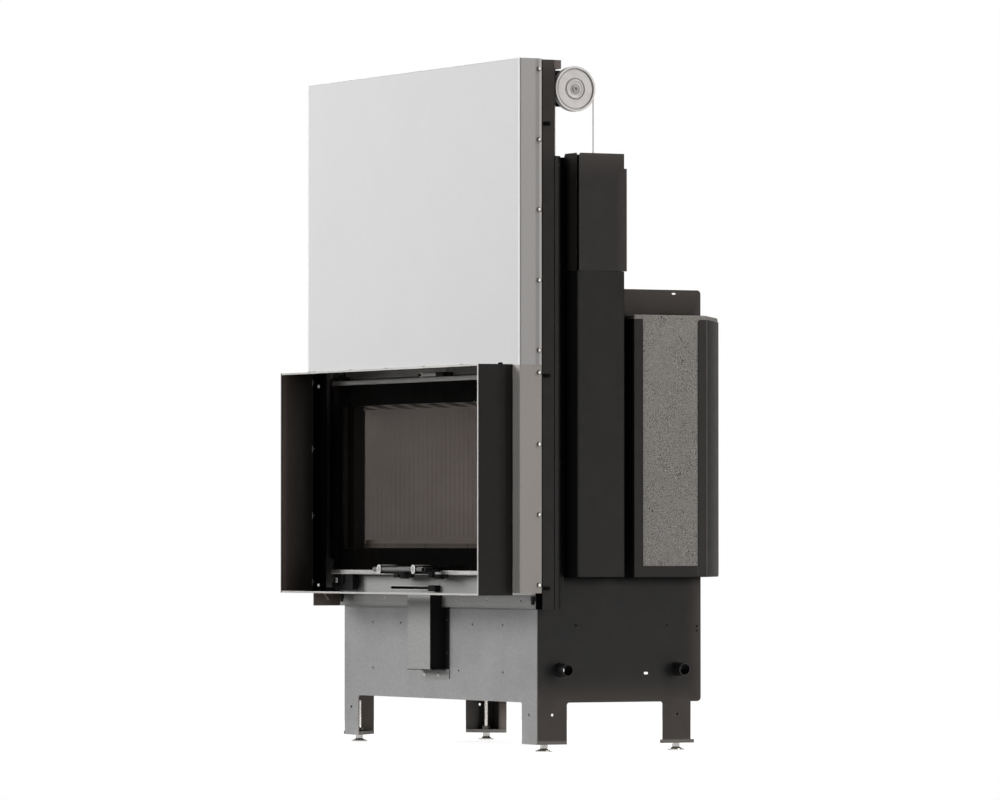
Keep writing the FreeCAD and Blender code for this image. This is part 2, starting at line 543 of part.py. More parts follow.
# counterweights: a stack of steel plates on a flat bar, with a cable socket
cw = box(CW_X[0], CW_X[1], CW_Y[0], CW_Y[1], CW_Z[0], CW_Z[1] - 22)
for q in range(1, 7):
    zz = CW_Z[0] + (CW_Z[1] - 22 - CW_Z[0]) * q / 7.0
    ringcut = box(CW_X[0] - 5, CW_X[1] + 5, CW_Y[0] - 5, CW_Y[1] + 5, zz - 0.6, zz + 0.6)
    ringcut = ringcut.cut(box(CW_X[0] + 1.2, CW_X[1] - 1.2, CW_Y[0] + 1.2, CW_Y[1] - 1.2, zz - 2, zz + 2))
    cw = cw.cut(ringcut)
cw = cw.fuse(cyl_z(CW_Z[1] - 23, CW_Z[1], PUL_X, yr, 9.0))
cw = cw.cut(cyl_z(CW_Z[1] - 17, CW_Z[1] + 5, PUL_X, yr, CABLE_R + 0.06))
emit("counterweight_right", cw)
emit("counterweight_left", mirror(cw))

# ----------------------------------------------------------------------- door
g = box(-478, 478, GLASS_Y0, GLASS_Y1, 415.6, 858.9)
emit("door_glass", g)

top = box(-482, 482, 33, 45, 859, DOOR_Z1)
bot = box(-487, 487, 33, 45, DOOR_Z0, 415.5)
rails = [round_edges(q, 1.6, lambda e: at(e, y=33) and abs(e.Vertexes[0].Point.z - e.Vertexes[-1].Point.z) < 1e-3)
         for q in (top, bot)]
# a drawn groove runs along the front of both rails
rails = [q.cut(box(-500, 500, 32, 33.7, z - 0.7, z + 0.7)) for q, z in zip(rails, (864.6, 410.2))]
emit("door_rails", rails)

f = box(-DOOR_HALF, DOOR_HALF, 45.2, 48.2, DOOR_Z0, DOOR_Z1)
f = f.fuse(box(-DOOR_HALF, DOOR_HALF, 48.2, 57.6, DOOR_Z0, DOOR_Z1).cut(
    box(-DOOR_HALF + 3, DOOR_HALF - 3, 40, 60, DOOR_Z0 + 3, DOOR_Z1 - 3)))
f = f.fuse(box(-477, 477, 39.2, 45.2, 416, 858.5))
f = f.cut(box(-428, 428, 30, 60, 468, 808))
emit("door_frame", f.removeSplitter())

gk = box(-484, 484, 57.6, 67.2, 409, 865).cut(box(-470, 470, 50, 70, 423, 851))
emit("door_gasket", gk)

# handle: two posts with an end disc, and a tube that passes through both
bar = cyl_x(BAR_X[0], BAR_X[1], BAR_Y, PEG_Z, BAR_R)
for x0, x1 in ((BAR_X[0] - 1, BAR_X[0] + 24), (BAR_X[1] - 24, BAR_X[1] + 1)):
    bar = bar.cut(cyl_x(x0, x1, BAR_Y, PEG_Z, BAR_R - 1.3))
pegs = [bar]
for px in PEG_X:
    prof = [(-37.4, 0), (-37.4, 10.3), (-36.9, 10.9), (-36.2, 10.9), (-35.8, 10.4), (-35.8, 10.2),
            (10.6, 10.2), (12.0, 8.8), (12.0, 6.0), (32.9, 6.0), (32.9, 0)]
    q = turned(prof, (px, 0, PEG_Z), V(0, 1, 0), V(1, 0, 0))
    pegs.append(q.cut(cyl_x(px - 20, px + 20, BAR_Y, PEG_Z, BAR_R + 0.04)))
emit("handle_pegs", pegs)

# carriage arms: plate beside the door, two bridges, roller pins, cable anchor
a = box(506, 511, 40, 88, 440, 880)
a = round_edges(a, 10, lambda e: abs(e.Vertexes[0].Point.x - e.Vertexes[-1].Point.x) > 1)
for z in (468, 812):
    a = a.fuse(box(DOOR_HALF, 507, 46, 57, z - 16, z + 16))
for z in ROLLER_Z:
    a = a.fuse(cyl_x(510, 541, ROLLER_Y, z, 5.0)).fuse(cyl_x(510, 517.4, ROLLER_Y, z, 7.5))
a = a.fuse(box(510, 535, 83, 88, 823, 847)).fuse(box(523, 535, 87, 109, 823, 847))
a = a.cut(cyl_z(ANCHOR_Z - 0.5, 900, PUL_X, yf, CABLE_R + 0.06))
emit("door_carriage_arms", both(a.removeSplitter()))

for sx, side in ((-1, "left"), (1, "right")):
    for z, end in zip(ROLLER_Z, ("lower", "upper")):
        s = cyl_x(518, 538, ROLLER_Y, z, ROLLER_R)
        s = s.makeFillet(1.5, [e for e in s.Edges if len(e.Vertexes) == 1])
        s = s.cut(cyl_x(500, 560, ROLLER_Y, z, 5.06))
        emit("guide_roller_%s_%s" % (end, side), mirror(s) if sx < 0 else s)

# hinge blocks with their pins at the left edge, latch seat on the top rail
h1 = box(-484, -384, 40, 56, 367, DOOR_Z0)
h1 = round_edges(h1, 9, lambda e: at(e, x=-384, z=DOOR_Z0) or at(e, x=-384, z=367))
h1 = h1.fuse(box(-476, -428, 36, 41, 384, DOOR_Z0))
h1 = h1.fuse(cyl_z(376, 399, -460, 36, 3.4)).fuse(box(-492, -482, 38, 50, 372, 384))
h2 = box(-476, -430, 36, 56, DOOR_Z1, 880).fuse(cyl_z(870, 884, -455, 42, 4.5))
ls = box(-45, 112, 44.2, 56, DOOR_Z1, 881).fuse(cyl_y(33, 45, -20, 876, 3.0))
# clamp plates of the handle posts below the bottom rail, each with a bolt, and
# the backing plate that lies behind the posts in front of the rail
bp = box(-190, 60, 29.4, 32.9, 406.6, 416.4)
for px in PEG_X:
    bp = bp.cut(cyl_y(20, 40, px, PEG_Z, 7.0))
hb = [bp]
for px in PEG_X:
    q = box(px - 50, px + 46, 28.4, 32.9, 398, 406.3)
    q = q.fuse(box(px - 14, px + 22, 27.0, 32.9, 395.5, 399))
    hb.append(q.fuse(cyl_y(24.6, 29, px - 24, 402.4, 3.4)))
emit("door_hinges", [h1, h2, ls] + hb)

# latch lever on its pin, lying along the top rail; it swings up about the pin
lv = box(-20, 60, 37, 41, 872, 880).fuse(box(60, 96, 36, 42, 870.8, 881.2))
lv = lv.fuse(cyl_y(36, 43.6, -20, 876, 5.4)).cut(cyl_y(20, 60, -20, 876, 3.06))
emit("door_latch_lever", lv.removeSplitter())

# -------------------------------------------------------------- air control
kn = box(-8, 29, 50, 64, 366.2, 380.2)
kn = kn.makeFillet(2.2, [e for e in kn.Edges if at(e, y=50) or abs(e.Vertexes[0].Point.y - e.Vertexes[-1].Point.y) > 1])
kn = kn.fuse(box(3, 18, 63, 70, 371.5, 375.7)).fuse(box(-115, 75, 68.4, 70.4, 362, 388))
emit("air_control_slide", kn.removeSplitter())

# ----------------------------------------------------------------- fasteners
sc = []
for sx in (-1, 1):
    for z in (1565, 1403, 1243, 1081, 921, 870, 706, 545, 384):
        sc.append(dome(sx * (PANEL_HALF - 0.8), 50, z, 5.5, 4.4, V(sx, 0, 0)))
for x, z in ((-63.6, 170), (7.2, 170)):
    sc.append(dome(x, 71.8, z, 4.2, 2.6, V(0, -1, 0)))
for z in (858, 378):
    for x in (-482, 482):
        sc.append(dome(x, -2, z, 4.5, 2.8, V(0, -1, 0)))
emit("panel_screws", sc)

bl = []
for sx in (-1, 1):
    for z in (1440, 863, 376):
        q = slot_y(UP_X1, UP_X1 + 1.0, 71, z, 20, 9.6).fuse(cyl_x(UP_X1, UP_X1 + 4.5, 68.5, z, 4.4))
        hx = [(68.5 + 2.4 * math.cos(math.radians(60 * m)), z + 2.4 * math.sin(math.radians(60 * m))) for m in range(6)]
        q = q.cut(prism_x(hx, UP_X1 + 2, UP_X1 + 9))
        bl.append(mirror(q) if sx < 0 else q)
for z in (287, 276):
    bl += both(dome(BASE_HALF, 494, z, 2.2, 0.9, V(1, 0, 0)))
for x in (-383, -191, 0, 191, 383):
    bl.append(dome(x, -63, SUR_Z1, 4.5, 2.2, V(0, 0, 1)))
for x in (-495, 495):
    bl.append(dome(x, -21, SUR_Z1, 6.0, 4.5, V(0, 0, 1)))
emit("black_bolts", bl)

# rivets on the bend of the covers, square to its surface
bend_a = math.asin((106 - COVER_Y + BEND_R) / BEND_R)
bend_x = UP_X1 - 0.8 - BEND_R + BEND_R * math.cos(bend_a)
rv = []
for z in (1345, 1118, 888, 664, 437):
    rv += both(dome(bend_x, 106, z, 2.6, 1.5, V(math.cos(bend_a), math.sin(bend_a), 0)))
for z in (300, 222):
    rv.append(dome(50, 71.8, z, 3.0, 1.6, V(0, -1, 0)))
emit("strip_rivets", rv)
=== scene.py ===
import math
import random

import bmesh
import bpy
from mathutils import Matrix, Vector


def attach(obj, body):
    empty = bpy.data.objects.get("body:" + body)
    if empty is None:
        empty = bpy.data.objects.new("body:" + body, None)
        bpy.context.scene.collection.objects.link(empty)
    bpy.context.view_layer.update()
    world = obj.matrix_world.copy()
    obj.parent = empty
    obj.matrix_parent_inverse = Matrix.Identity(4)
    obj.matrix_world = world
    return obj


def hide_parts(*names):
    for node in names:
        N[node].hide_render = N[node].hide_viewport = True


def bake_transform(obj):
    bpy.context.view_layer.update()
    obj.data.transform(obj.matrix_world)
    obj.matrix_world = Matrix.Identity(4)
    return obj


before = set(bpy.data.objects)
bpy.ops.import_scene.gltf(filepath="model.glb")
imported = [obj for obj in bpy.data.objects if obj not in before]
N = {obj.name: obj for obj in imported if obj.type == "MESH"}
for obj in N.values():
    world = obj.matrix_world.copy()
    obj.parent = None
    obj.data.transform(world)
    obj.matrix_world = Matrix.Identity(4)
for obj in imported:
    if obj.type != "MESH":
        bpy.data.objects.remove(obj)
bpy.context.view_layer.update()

scene = bpy.context.scene
Y_SHIFT = 262.15          # front panel face to the origin, mm


def P(x, y, z):
    # millimetres, Y counted from the front panel's face
    return Vector((x / 1000.0, (y - Y_SHIFT) / 1000.0, z / 1000.0))


def lin(v):
    v = v / 255.0
    return v / 12.92 if v <= 0.04045 else ((v + 0.055) / 1.055) ** 2.4


def rgb(r, g, b):
    return (lin(r), lin(g), lin(b))


# ------------------------------------------------------------------- camera
cam_data = bpy.data.cameras.new("camera")
cam_data.sensor_width = 36.0
cam_data.lens = 245.34
cam_data.clip_start, cam_data.clip_end = 0.1, 200.0
cam = bpy.data.objects.new("camera", cam_data)
scene.collection.objects.link(cam)
cam.location = P(14294, -7282, 485)
cam.rotation_euler = (math.radians(90) + math.atan(140.8 / 6815.0), 0.0, math.radians(62.25))
scene.camera = cam


# ---------------------------------------------------------------- materials
class Mat:
    def __init__(self, name):
        self.m = bpy.data.materials.new(name)
        self.m.use_nodes = True
        self.nt = self.m.node_tree
        self.nt.nodes.clear()
        self.out = self.nt.nodes.new("ShaderNodeOutputMaterial")
        self.b = self.nt.nodes.new("ShaderNodeBsdfPrincipled")
        self.nt.links.new(self.b.outputs[0], self.out.inputs[0])
        self.co = self.nt.nodes.new("ShaderNodeTexCoord").outputs["Object"]

    def stretch(self, x, y, z):
        n = self.nt.nodes.new("ShaderNodeMapping")
        n.inputs["Scale"].default_value = (x, y, z)
        self.nt.links.new(self.co, n.inputs["Vector"])
        return n.outputs[0]

    def noise(self, scale, detail=3.0, rough=0.55, vec=None, distortion=0.0):
        n = self.nt.nodes.new("ShaderNodeTexNoise")
        n.inputs["Scale"].default_value = scale
        n.inputs["Detail"].default_value = detail
        n.inputs["Roughness"].default_value = rough
        n.inputs["Distortion"].default_value = distortion
        self.nt.links.new(vec if vec is not None else self.co, n.inputs["Vector"])
        return n.outputs["Fac"]

    def voronoi(self, scale, vec=None, feature="F1", out="Distance"):
        n = self.nt.nodes.new("ShaderNodeTexVoronoi")
        n.feature = feature
        n.inputs["Scale"].default_value = scale
        self.nt.links.new(vec if vec is not None else self.co, n.inputs["Vector"])
        return n.outputs[out]

    def ramp(self, fac, *stops, ease="LINEAR"):
        n = self.nt.nodes.new("ShaderNodeValToRGB")
        n.color_ramp.interpolation = ease
        el = n.color_ramp.elements
        while len(el) > 1:
            el.remove(el[-1])
        el[0].position = stops[0][0]
        el[0].color = (*stops[0][1], 1)
        for pos, col in stops[1:]:
            e = el.new(pos)
            e.color = (*col, 1)
        self.nt.links.new(fac, n.inputs[0])
        return n.outputs[0]

    def span(self, fac, a, b, lo, hi):
        n = self.nt.nodes.new("ShaderNodeMapRange")
        n.inputs["From Min"].default_value = a
        n.inputs["From Max"].default_value = b
        n.inputs["To Min"].default_value = lo
        n.inputs["To Max"].default_value = hi
        self.nt.links.new(fac, n.inputs[0])
        return n.outputs[0]

    def mix(self, fac, a, b, mode="MIX"):
        n = self.nt.nodes.new("ShaderNodeMix")
        n.data_type = "RGBA"
        n.blend_type = mode
        for sock, v in ((n.inputs[0], fac), (n.inputs[6], a), (n.inputs[7], b)):
            if isinstance(v, (int, float)):
                sock.default_value = v
            elif isinstance(v, tuple):
                sock.default_value = (*v, 1)
            else:
                self.nt.links.new(v, sock)
        return n.outputs[2]

    def math(self, op, a, b):
        n = self.nt.nodes.new("ShaderNodeMath")
        n.operation = op
        for sock, v in ((n.inputs[0], a), (n.inputs[1], b)):
            if isinstance(v, (int, float)):
                sock.default_value = v
            else:
                self.nt.links.new(v, sock)
        return n.outputs[0]

    def split(self, axis):
        n = self.nt.nodes.new("ShaderNodeSeparateXYZ")
        self.nt.links.new(self.co, n.inputs[0])
        return n.outputs[axis]

    def facing(self, axis):
        n = self.nt.nodes.new("ShaderNodeSeparateXYZ")
        self.nt.links.new(self.nt.nodes.new("ShaderNodeNewGeometry").outputs["Normal"], n.inputs[0])
        return n.outputs[axis]

    def bump(self, height, strength, distance=0.001):
        n = self.nt.nodes.new("ShaderNodeBump")
        n.inputs["Strength"].default_value = strength
        n.inputs["Distance"].default_value = distance
        self.nt.links.new(height, n.inputs["Height"])
        self.nt.links.new(n.outputs[0], self.b.inputs["Normal"])

    def put(self, **k):
        for name, v in k.items():
            sock = self.b.inputs[name.replace("_", " ")]
            if isinstance(v, (int, float)):
                sock.default_value = v
            elif isinstance(v, tuple):
                sock.default_value = (*v, 1)
            else:
                self.nt.links.new(v, sock)
        return self


def sheet_paint(name, dark, light, r0, r1, spec, grain=1500, speck=0.10):
    # sprayed heat-proof paint: fine orange peel, faint cloudy tone
    m = Mat(name)
    cloud = m.noise(5.0, 4.0, 0.6)
    fine = m.noise(620.0, 2.0, 0.6)
    col = m.ramp(cloud, (0.30, dark), (0.72, light))
    col = m.mix(speck, col, m.ramp(fine, (0.35, tuple(c * 0.55 for c in dark)), (0.7, tuple(c * 1.7 for c in light))))
    m.put(Base_Color=col, Roughness=m.span(m.noise(38.0, 4.0), 0.3, 0.7, r0, r1), Metallic=0.0, Specular_IOR_Level=spec)
    m.bump(m.noise(grain, 2.0, 0.5), 0.16, 0.0004)
    return m.m


def zinc(name, dark, light, r0, r1, metal, speck=0.55, size=300.0, bump=0.10, tilt=0.0, lift=None, shade=None):
    # galvanised sheet: fine crystalline speckle over a cloudy tone
    m = Mat(name)
    grain = m.noise(size, 3.0, 0.75)
    fine = m.noise(size * 3.2, 2.0, 0.6)
    cloud = m.noise(7.0, 4.0, 0.6)
    base = m.ramp(grain, (0.33, dark), (0.68, light))
    base = m.mix(speck * 0.45, base, m.ramp(fine, (0.36, tuple(c * 0.8 for c in dark)), (0.66, tuple(min(1.0, c * 1.22) for c in light))))
    col = m.mix(0.22, base, m.ramp(cloud, (0.3, dark), (0.7, light)))
    if tilt:
        col = m.mix(m.span(m.split("X"), -0.5, 0.5, 0.0, tilt), col, tuple(c * 0.5 for c in dark))
    # painted shade: the shade mask turns the sheet near black
    if shade:
        col = m.mix(shade(m), col, m.ramp(grain, (0.33, (0.003, 0.003, 0.003)), (0.68, (0.006, 0.006, 0.006))))
    # painted light: the lift mask turns the sheet pale
    if lift:
        col = m.mix(lift(m), col, m.ramp(grain, (0.33, rgb(200, 200, 198)), (0.68, rgb(232, 232, 230))))
    m.put(Base_Color=col, Metallic=metal, Roughness=m.span(grain, 0.3, 0.7, r0, r1), Specular_IOR_Level=0.4)
    m.bump(fine, bump, 0.0004)
    return m.m


def hole_rim_shade(m):
    # painted shade round the screw holes of the base front: dark ovals standing in for the shade in the holes
    x, z = m.split("X"), m.split("Z")
    out = None
    for hx, hz in ((-0.341, 0.290), (-0.193, 0.290), (0.175, 0.290), (0.327, 0.290), (-0.341, 0.181), (0.105, 0.181),
                   (0.327, 0.181), (-0.458, 0.085), (0.458, 0.085)):
        dx = m.math("POWER", m.math("ABSOLUTE", m.math("MULTIPLY", m.math("SUBTRACT", x, hx), 1.0 / 0.0052), 0.0), 2.0)
        dz = m.math("POWER", m.math("ABSOLUTE", m.math("MULTIPLY", m.math("SUBTRACT", z, hz), 1.0 / 0.0036), 0.0), 2.0)
        rim = m.span(m.math("ADD", dx, dz), 0.7, 1.2, 0.9, 0.0)
        out = rim if out is None else m.math("MAXIMUM", out, rim)
    return out


def panel_sheet(name, dark, light):
    # pale coated sheet; a painted highlight on the front face along the bend, painted shade on the side walls with a
    # darker painted line at the bend, the joggled edge behind the side walls painted darker as shade with a painted
    # highlight on its rear rim
    m = Mat(name)
    grain = m.noise(420.0, 3.0, 0.75)
    fine = m.noise(1350.0, 2.0, 0.6)
    cloud = m.noise(7.0, 4.0, 0.6)
    base = m.ramp(grain, (0.33, dark), (0.68, light))
    base = m.mix(0.11, base, m.ramp(fine, (0.36, tuple(c * 0.8 for c in dark)), (0.66, tuple(min(1.0, c * 1.22) for c in light))))
    col = m.mix(0.10, base, m.ramp(cloud, (0.3, dark), (0.7, light)))
    x, y = m.math("ABSOLUTE", m.split("X"), 0.0), m.split("Y")
    # painted highlight on the front face next to the bend
    bend_highlight = m.math("MULTIPLY", m.math("GREATER_THAN", x, 0.5435), m.math("LESS_THAN", y, -0.2619))
    col = m.mix(bend_highlight, col, m.ramp(fine, (0.3, G(226)), (0.7, G(240))))
    # painted shade on the side walls, darker still in a line at the bend
    wall = m.math("MULTIPLY", m.math("GREATER_THAN", x, 0.5488), m.math("GREATER_THAN", y, -0.2616))
    shade = m.ramp(grain, (0.33, tuple(c * 0.925 for c in dark)), (0.68, tuple(c * 0.925 for c in light)))
    col = m.mix(wall, col, shade)
    line = m.math("MULTIPLY", wall, m.math("LESS_THAN", y, -0.2586))
    col = m.mix(line, col, m.ramp(grain, (0.33, tuple(c * 0.62 for c in dark)), (0.68, tuple(c * 0.62 for c in light))))
    # painted shade on the joggled edge, with a painted highlight on its rear rim
    edge = m.math("GREATER_THAN", y, -0.2212)
    tint = m.ramp(fine, (0.3, tuple(c * 0.71 for c in dark)), (0.7, tuple(c * 0.74 for c in light)))
    rim = m.math("GREATER_THAN", y, -0.2106)
    tint = m.mix(rim, tint, m.ramp(fine, (0.3, G(210)), (0.7, G(226))))
    m.put(Base_Color=m.mix(edge, col, tint), Metallic=0.0, Roughness=m.span(grain, 0.3, 0.7, 0.46, 0.62), Specular_IOR_Level=0.4)
    m.bump(fine, 0.05, 0.0004)
    return m.m


def shaded_paint(name, dark, light, warm, spec, mask, matt=None, seam=None, shade=None):
    # black paint that turns lighter and brown where the mask says
    m = Mat(name)
    cloud = m.noise(5.0, 4.0, 0.6)
    fine = m.noise(620.0, 2.0, 0.6)
    col = m.ramp(cloud, (0.30, dark), (0.72, light))
    col = m.mix(0.10, col, m.ramp(fine, (0.35, tuple(c * 0.55 for c in dark)), (0.7, tuple(c * 1.7 for c in light))))
    tone = m.ramp(fine, (0.30, tuple(c * 0.88 for c in warm)), (0.72, tuple(c * 1.12 for c in warm)))
    col = m.mix(mask(m), col, tone)
    rough = m.span(m.noise(38.0, 4.0), 0.3, 0.7, 0.47, 0.53)
    if matt:
        # faces behind the given depth are painted near black and dull: painted shade
        back = m.math("GREATER_THAN", m.split("Y"), matt)
        col = m.mix(back, col, m.ramp(fine, (0.3, (0.0003, 0.0003, 0.0003)), (0.7, (0.0009, 0.0009, 0.0009))))
        rough = m.math("ADD", rough, m.math("MULTIPLY", back, 0.44))
        m.put(Metallic=back)
    if seam:
        # shadow seam along the front edge
        gap = m.math("LESS_THAN", m.split("Y"), seam)
        col = m.mix(gap, col, m.ramp(fine, (0.3, (0.0004, 0.0004, 0.0004)), (0.7, (0.0010, 0.0010, 0.0010))))
        m.put(Metallic=gap)
    if shade:
        # painted shade where another sheet sits close by: near black, with its reflection taken away
        soot_and_shade = shade(m)
        col = m.mix(soot_and_shade, col, m.ramp(fine, (0.3, (0.0004, 0.0004, 0.0004)), (0.7, (0.0010, 0.0010, 0.0010))))
        m.put(Metallic=soot_and_shade)
    m.put(Base_Color=col, Roughness=rough, Specular_IOR_Level=spec)
    m.bump(m.noise(1500.0, 2.0, 0.5), 0.16, 0.0004)
    return m.m


def inner_wall_light(m):
    # painted light: the inner faces of the surround's side walls lighter and browner towards the front edge, the outer
    # faces a little lighter close to the panel
    x = m.math("ABSOLUTE", m.split("X"), 0.0)
    wall = m.math("MULTIPLY", m.math("GREATER_THAN", x, 0.5125), m.math("LESS_THAN", x, 0.5142))
    depth = m.span(m.split("Y"), -0.3509, -0.2640, 0.0, 1.0)
    tone = m.ramp(depth, *[(q, (v, v, v)) for q, v in ((0.0, 1.0), (0.055, 0.76), (0.10, 0.46), (0.15, 0.31), (0.21, 0.195), (0.30, 0.132),
                                                      (0.46, 0.082), (0.60, 0.046), (0.70, 0.036), (0.83, 0.046), (1.0, 0.060))])
    outer = m.math("MULTIPLY", m.math("GREATER_THAN", x, 0.5146), m.span(m.split("Y"), -0.292, -0.280, 0.0, 0.073))
    return m.math("ADD", m.math("MULTIPLY", wall, tone), outer)


def side_plate_light(m):
    # painted light on the side plates: lighter and warmer towards the floor, the rear edge and the top edge
    x, y, z = m.math("ABSOLUTE", m.split("X"), 0.0), m.split("Y"), m.split("Z")
    low = m.math("ADD", m.math("MULTIPLY", m.math("POWER", m.span(z, 0.115, 0.185, 1.0, 0.0), 2.0), 0.84),
                 m.math("MULTIPLY", m.span(z, 0.03, 0.11, 1.0, 0.0), 0.10))
    inner = m.math("LESS_THAN", x, 0.4935)
    fade = m.math("POWER", m.span(y, 0.130, 0.185, 1.0, 0.0), 1.6)
    low = m.math("MULTIPLY", low, m.math("SUBTRACT", 1.0, m.math("MULTIPLY", inner, m.math("SUBTRACT", 1.0, fade))))
    top = m.span(z, 0.99, 1.067, 0.0, 1.0)
    rear = m.math("POWER", m.span(y, 0.190, 0.243, 0.0, 1.0), 2.0)
    return m.math("MAXIMUM", m.math("MAXIMUM", low, top), rear)


def under_casing_shadow(m):
    # painted shadow on the side plates just under the casings and the slab frames
    z = m.split("Z")
    return m.math("MULTIPLY", m.math("POWER", m.span(z, 0.3780, 0.4020, 0.0, 0.97), 1.5), m.math("LESS_THAN", z, 0.4030))


def cover_front_shade(m):
    # painted shade on the front faces and front edge of the casing covers, deep behind the panel and uprights
    x, y = m.math("ABSOLUTE", m.split("X"), 0.0), m.split("Y")
    return m.math("MULTIPLY", m.math("GREATER_THAN", x, 0.5600), m.math("LESS_THAN", y, -0.1152))


def bar_end(m):
    # ends of the top crossbar, painted lighter and browner
    return m.math("GREATER_THAN", m.math("ABSOLUTE", m.split("X"), 0.0), 0.5425)


def rear_leg_light(m):
    # painted light on the legs of the rear plate, lighter towards their free edge
    x, z = m.math("ABSOLUTE", m.split("X"), 0.0), m.split("Z")
    leg = m.math("LESS_THAN", z, 0.118)
    edge = m.math("MULTIPLY", m.math("GREATER_THAN", x, 0.400), m.span(x, 0.452, 0.462, 1.0, 0.10))
    return m.math("MULTIPLY", leg, edge)


def upper_strip_light(m):
    # painted light on the strip above the door, on both sides of the latch
    x, z = m.split("X"), m.split("Z")
    left = m.math("MULTIPLY", m.span(x, -0.40, -0.22, 0.0, 1.0), m.math("LESS_THAN", x, 0.05))
    right = m.math("MULTIPLY", m.math("GREATER_THAN", x, 0.05), 0.35)
    return m.math("MULTIPLY", m.math("GREATER_THAN", z, 0.8752), m.math("ADD", left, right))


def strip_shade(m):
    # painted shadow where the lower strip runs under the surround, and painted shade along the gap above the door
    z = m.split("Z")
    low = m.math("MULTIPLY", m.math("POWER", m.span(z, 0.338, 0.356, 0.0, 1.0), 0.8), m.math("LESS_THAN", z, 0.3605))
    gap = m.math("MULTIPLY", m.math("LESS_THAN", z, 0.8752), m.math("GREATER_THAN", z, 0.80))
    return m.math("ADD", m.math("MULTIPLY", low, 0.66), m.math("MULTIPLY", gap, 0.75))


def frame_paint(name):
    # frames of the side slabs: lighter behind Y 0.2085, a painted highlight along the corner line, and the chamfer
    # plate painted as light and shade, darker and dull towards that corner, lighter and warmer away from it
    m = Mat(name)
    fine = m.noise(620.0, 2.0, 0.6)
    x, y = m.math("ABSOLUTE", m.split("X"), 0.0), m.split("Y")
    col = m.ramp(fine, (0.30, (0.0086, 0.0079, 0.0075)), (0.70, (0.0118, 0.0109, 0.0103)))
    col = m.mix(m.math("GREATER_THAN", y, 0.2085), col, m.ramp(fine, (0.30, (0.0215, 0.0195, 0.0183)), (0.70, (0.0270, 0.0245, 0.0230))))
    line = m.math("MULTIPLY", m.math("GREATER_THAN", x, 0.5380), m.math("GREATER_THAN", y, 0.2330))
    col = m.mix(line, col, m.ramp(fine, (0.3, (0.092, 0.080, 0.072)), (0.7, (0.118, 0.104, 0.094))))
    plate = m.math("MULTIPLY", m.math("GREATER_THAN", y, 0.2365), m.math("LESS_THAN", x, 0.5385))
    dull = m.math("MULTIPLY", plate, m.span(x, 0.405, 0.530, 0.62, 0.92))
    warm = m.math("MULTIPLY", plate, m.span(x, 0.395, 0.515, 0.80, 0.04))
    col = m.mix(plate, col, m.ramp(fine, (0.30, (0.0086, 0.0076, 0.0070)), (0.70, (0.0118, 0.0106, 0.0098))))
    col = m.mix(warm, col, m.ramp(fine, (0.3, (0.058, 0.050, 0.045)), (0.7, (0.074, 0.064, 0.058))))
    rough = m.math("ADD", m.span(m.noise(38.0, 4.0), 0.3, 0.7, 0.48, 0.54), m.math("MULTIPLY", plate, m.span(x, 0.40, 0.52, 0.0, 0.15)))
    m.put(Base_Color=col, Roughness=rough, Metallic=dull, Specular_IOR_Level=0.30)
    m.bump(m.noise(1500.0, 2.0, 0.5), 0.16, 0.0004)
    return m.m


def sleeve_paint(name):
    # carrying sleeves: satin outside, end rim painted lighter as a highlight, the bore painted dark and dull as shade
    m = Mat(name)
    fine = m.noise(620.0, 2.0, 0.6)
    x, y = m.math("ABSOLUTE", m.split("X"), 0.0), m.split("Y")
    dy = m.math("MINIMUM", m.math("ABSOLUTE", m.math("ADD", y, 0.12815), 0.0), m.math("ABSOLUTE", m.math("SUBTRACT", y, 0.17885), 0.0))
    dz = m.math("SUBTRACT", m.split("Z"), 0.188)
    rad = m.math("SQRT", m.math("ADD", m.math("MULTIPLY", dy, dy), m.math("MULTIPLY", dz, dz)), 0.0)
    bore = m.math("LESS_THAN", rad, 0.01225)
    col = m.ramp(fine, (0.30, (0.0052, 0.0050, 0.0049)), (0.70, (0.0074, 0.0071, 0.0069)))
    rim = m.math("GREATER_THAN", x, 0.5325)
    col = m.mix(rim, col, m.ramp(fine, (0.3, (0.013, 0.012, 0.011)), (0.7, (0.020, 0.018, 0.017))))
    col = m.mix(bore, col, m.ramp(fine, (0.3, (0.0016, 0.0013, 0.0011)), (0.7, (0.0030, 0.0025, 0.0021))))
    m.put(Base_Color=col, Roughness=m.math("ADD", m.span(fine, 0.3, 0.7, 0.40, 0.48), m.math("MULTIPLY", bore, 0.45)), Metallic=bore, Specular_IOR_Level=0.30)
    m.bump(m.noise(1500.0, 2.0, 0.5), 0.16, 0.0004)
    return m.m


def upright_top_light(m):
    # painted light: the upper end of the uprights lighter and warmer
    z = m.split("Z")
    return m.math("ADD", m.math("MULTIPLY", m.span(z, 1.33, 1.39, 0.0, 1.0), 0.36),
                  m.math("MULTIPLY", m.math("POWER", m.span(z, 1.53, 1.587, 0.0, 1.0), 2.0), 0.6))


def cover_light(m):
    # painted light on the upper covers of the casings: lighter all over, more at the top edge and the rear edge
    y, z = m.split("Y"), m.split("Z")
    top = m.math("ADD", m.math("MULTIPLY", m.math("POWER", m.span(z, 1.30, 1.375, 0.0, 1.0), 2.0), 0.72), 0.26)
    rear = m.math("MULTIPLY", m.span(y, -0.030, 0.004, 0.0, 1.0), 0.7)
    return m.math("MAXIMUM", top, rear)


def low_tab_light(m):
    # painted light on the inner face of the left upright's lower end, with the painted light of the uprights' upper end
    inner = m.math("MULTIPLY", m.math("LESS_THAN", m.split("X"), -0.5444), m.math("GREATER_THAN", m.split("X"), -0.5462))
    tab = m.math("MULTIPLY", inner, m.math("LESS_THAN", m.split("Z"), 0.362))
    return m.math("MAXIMUM", tab, m.math("MULTIPLY", upright_top_light(m), 0.3))


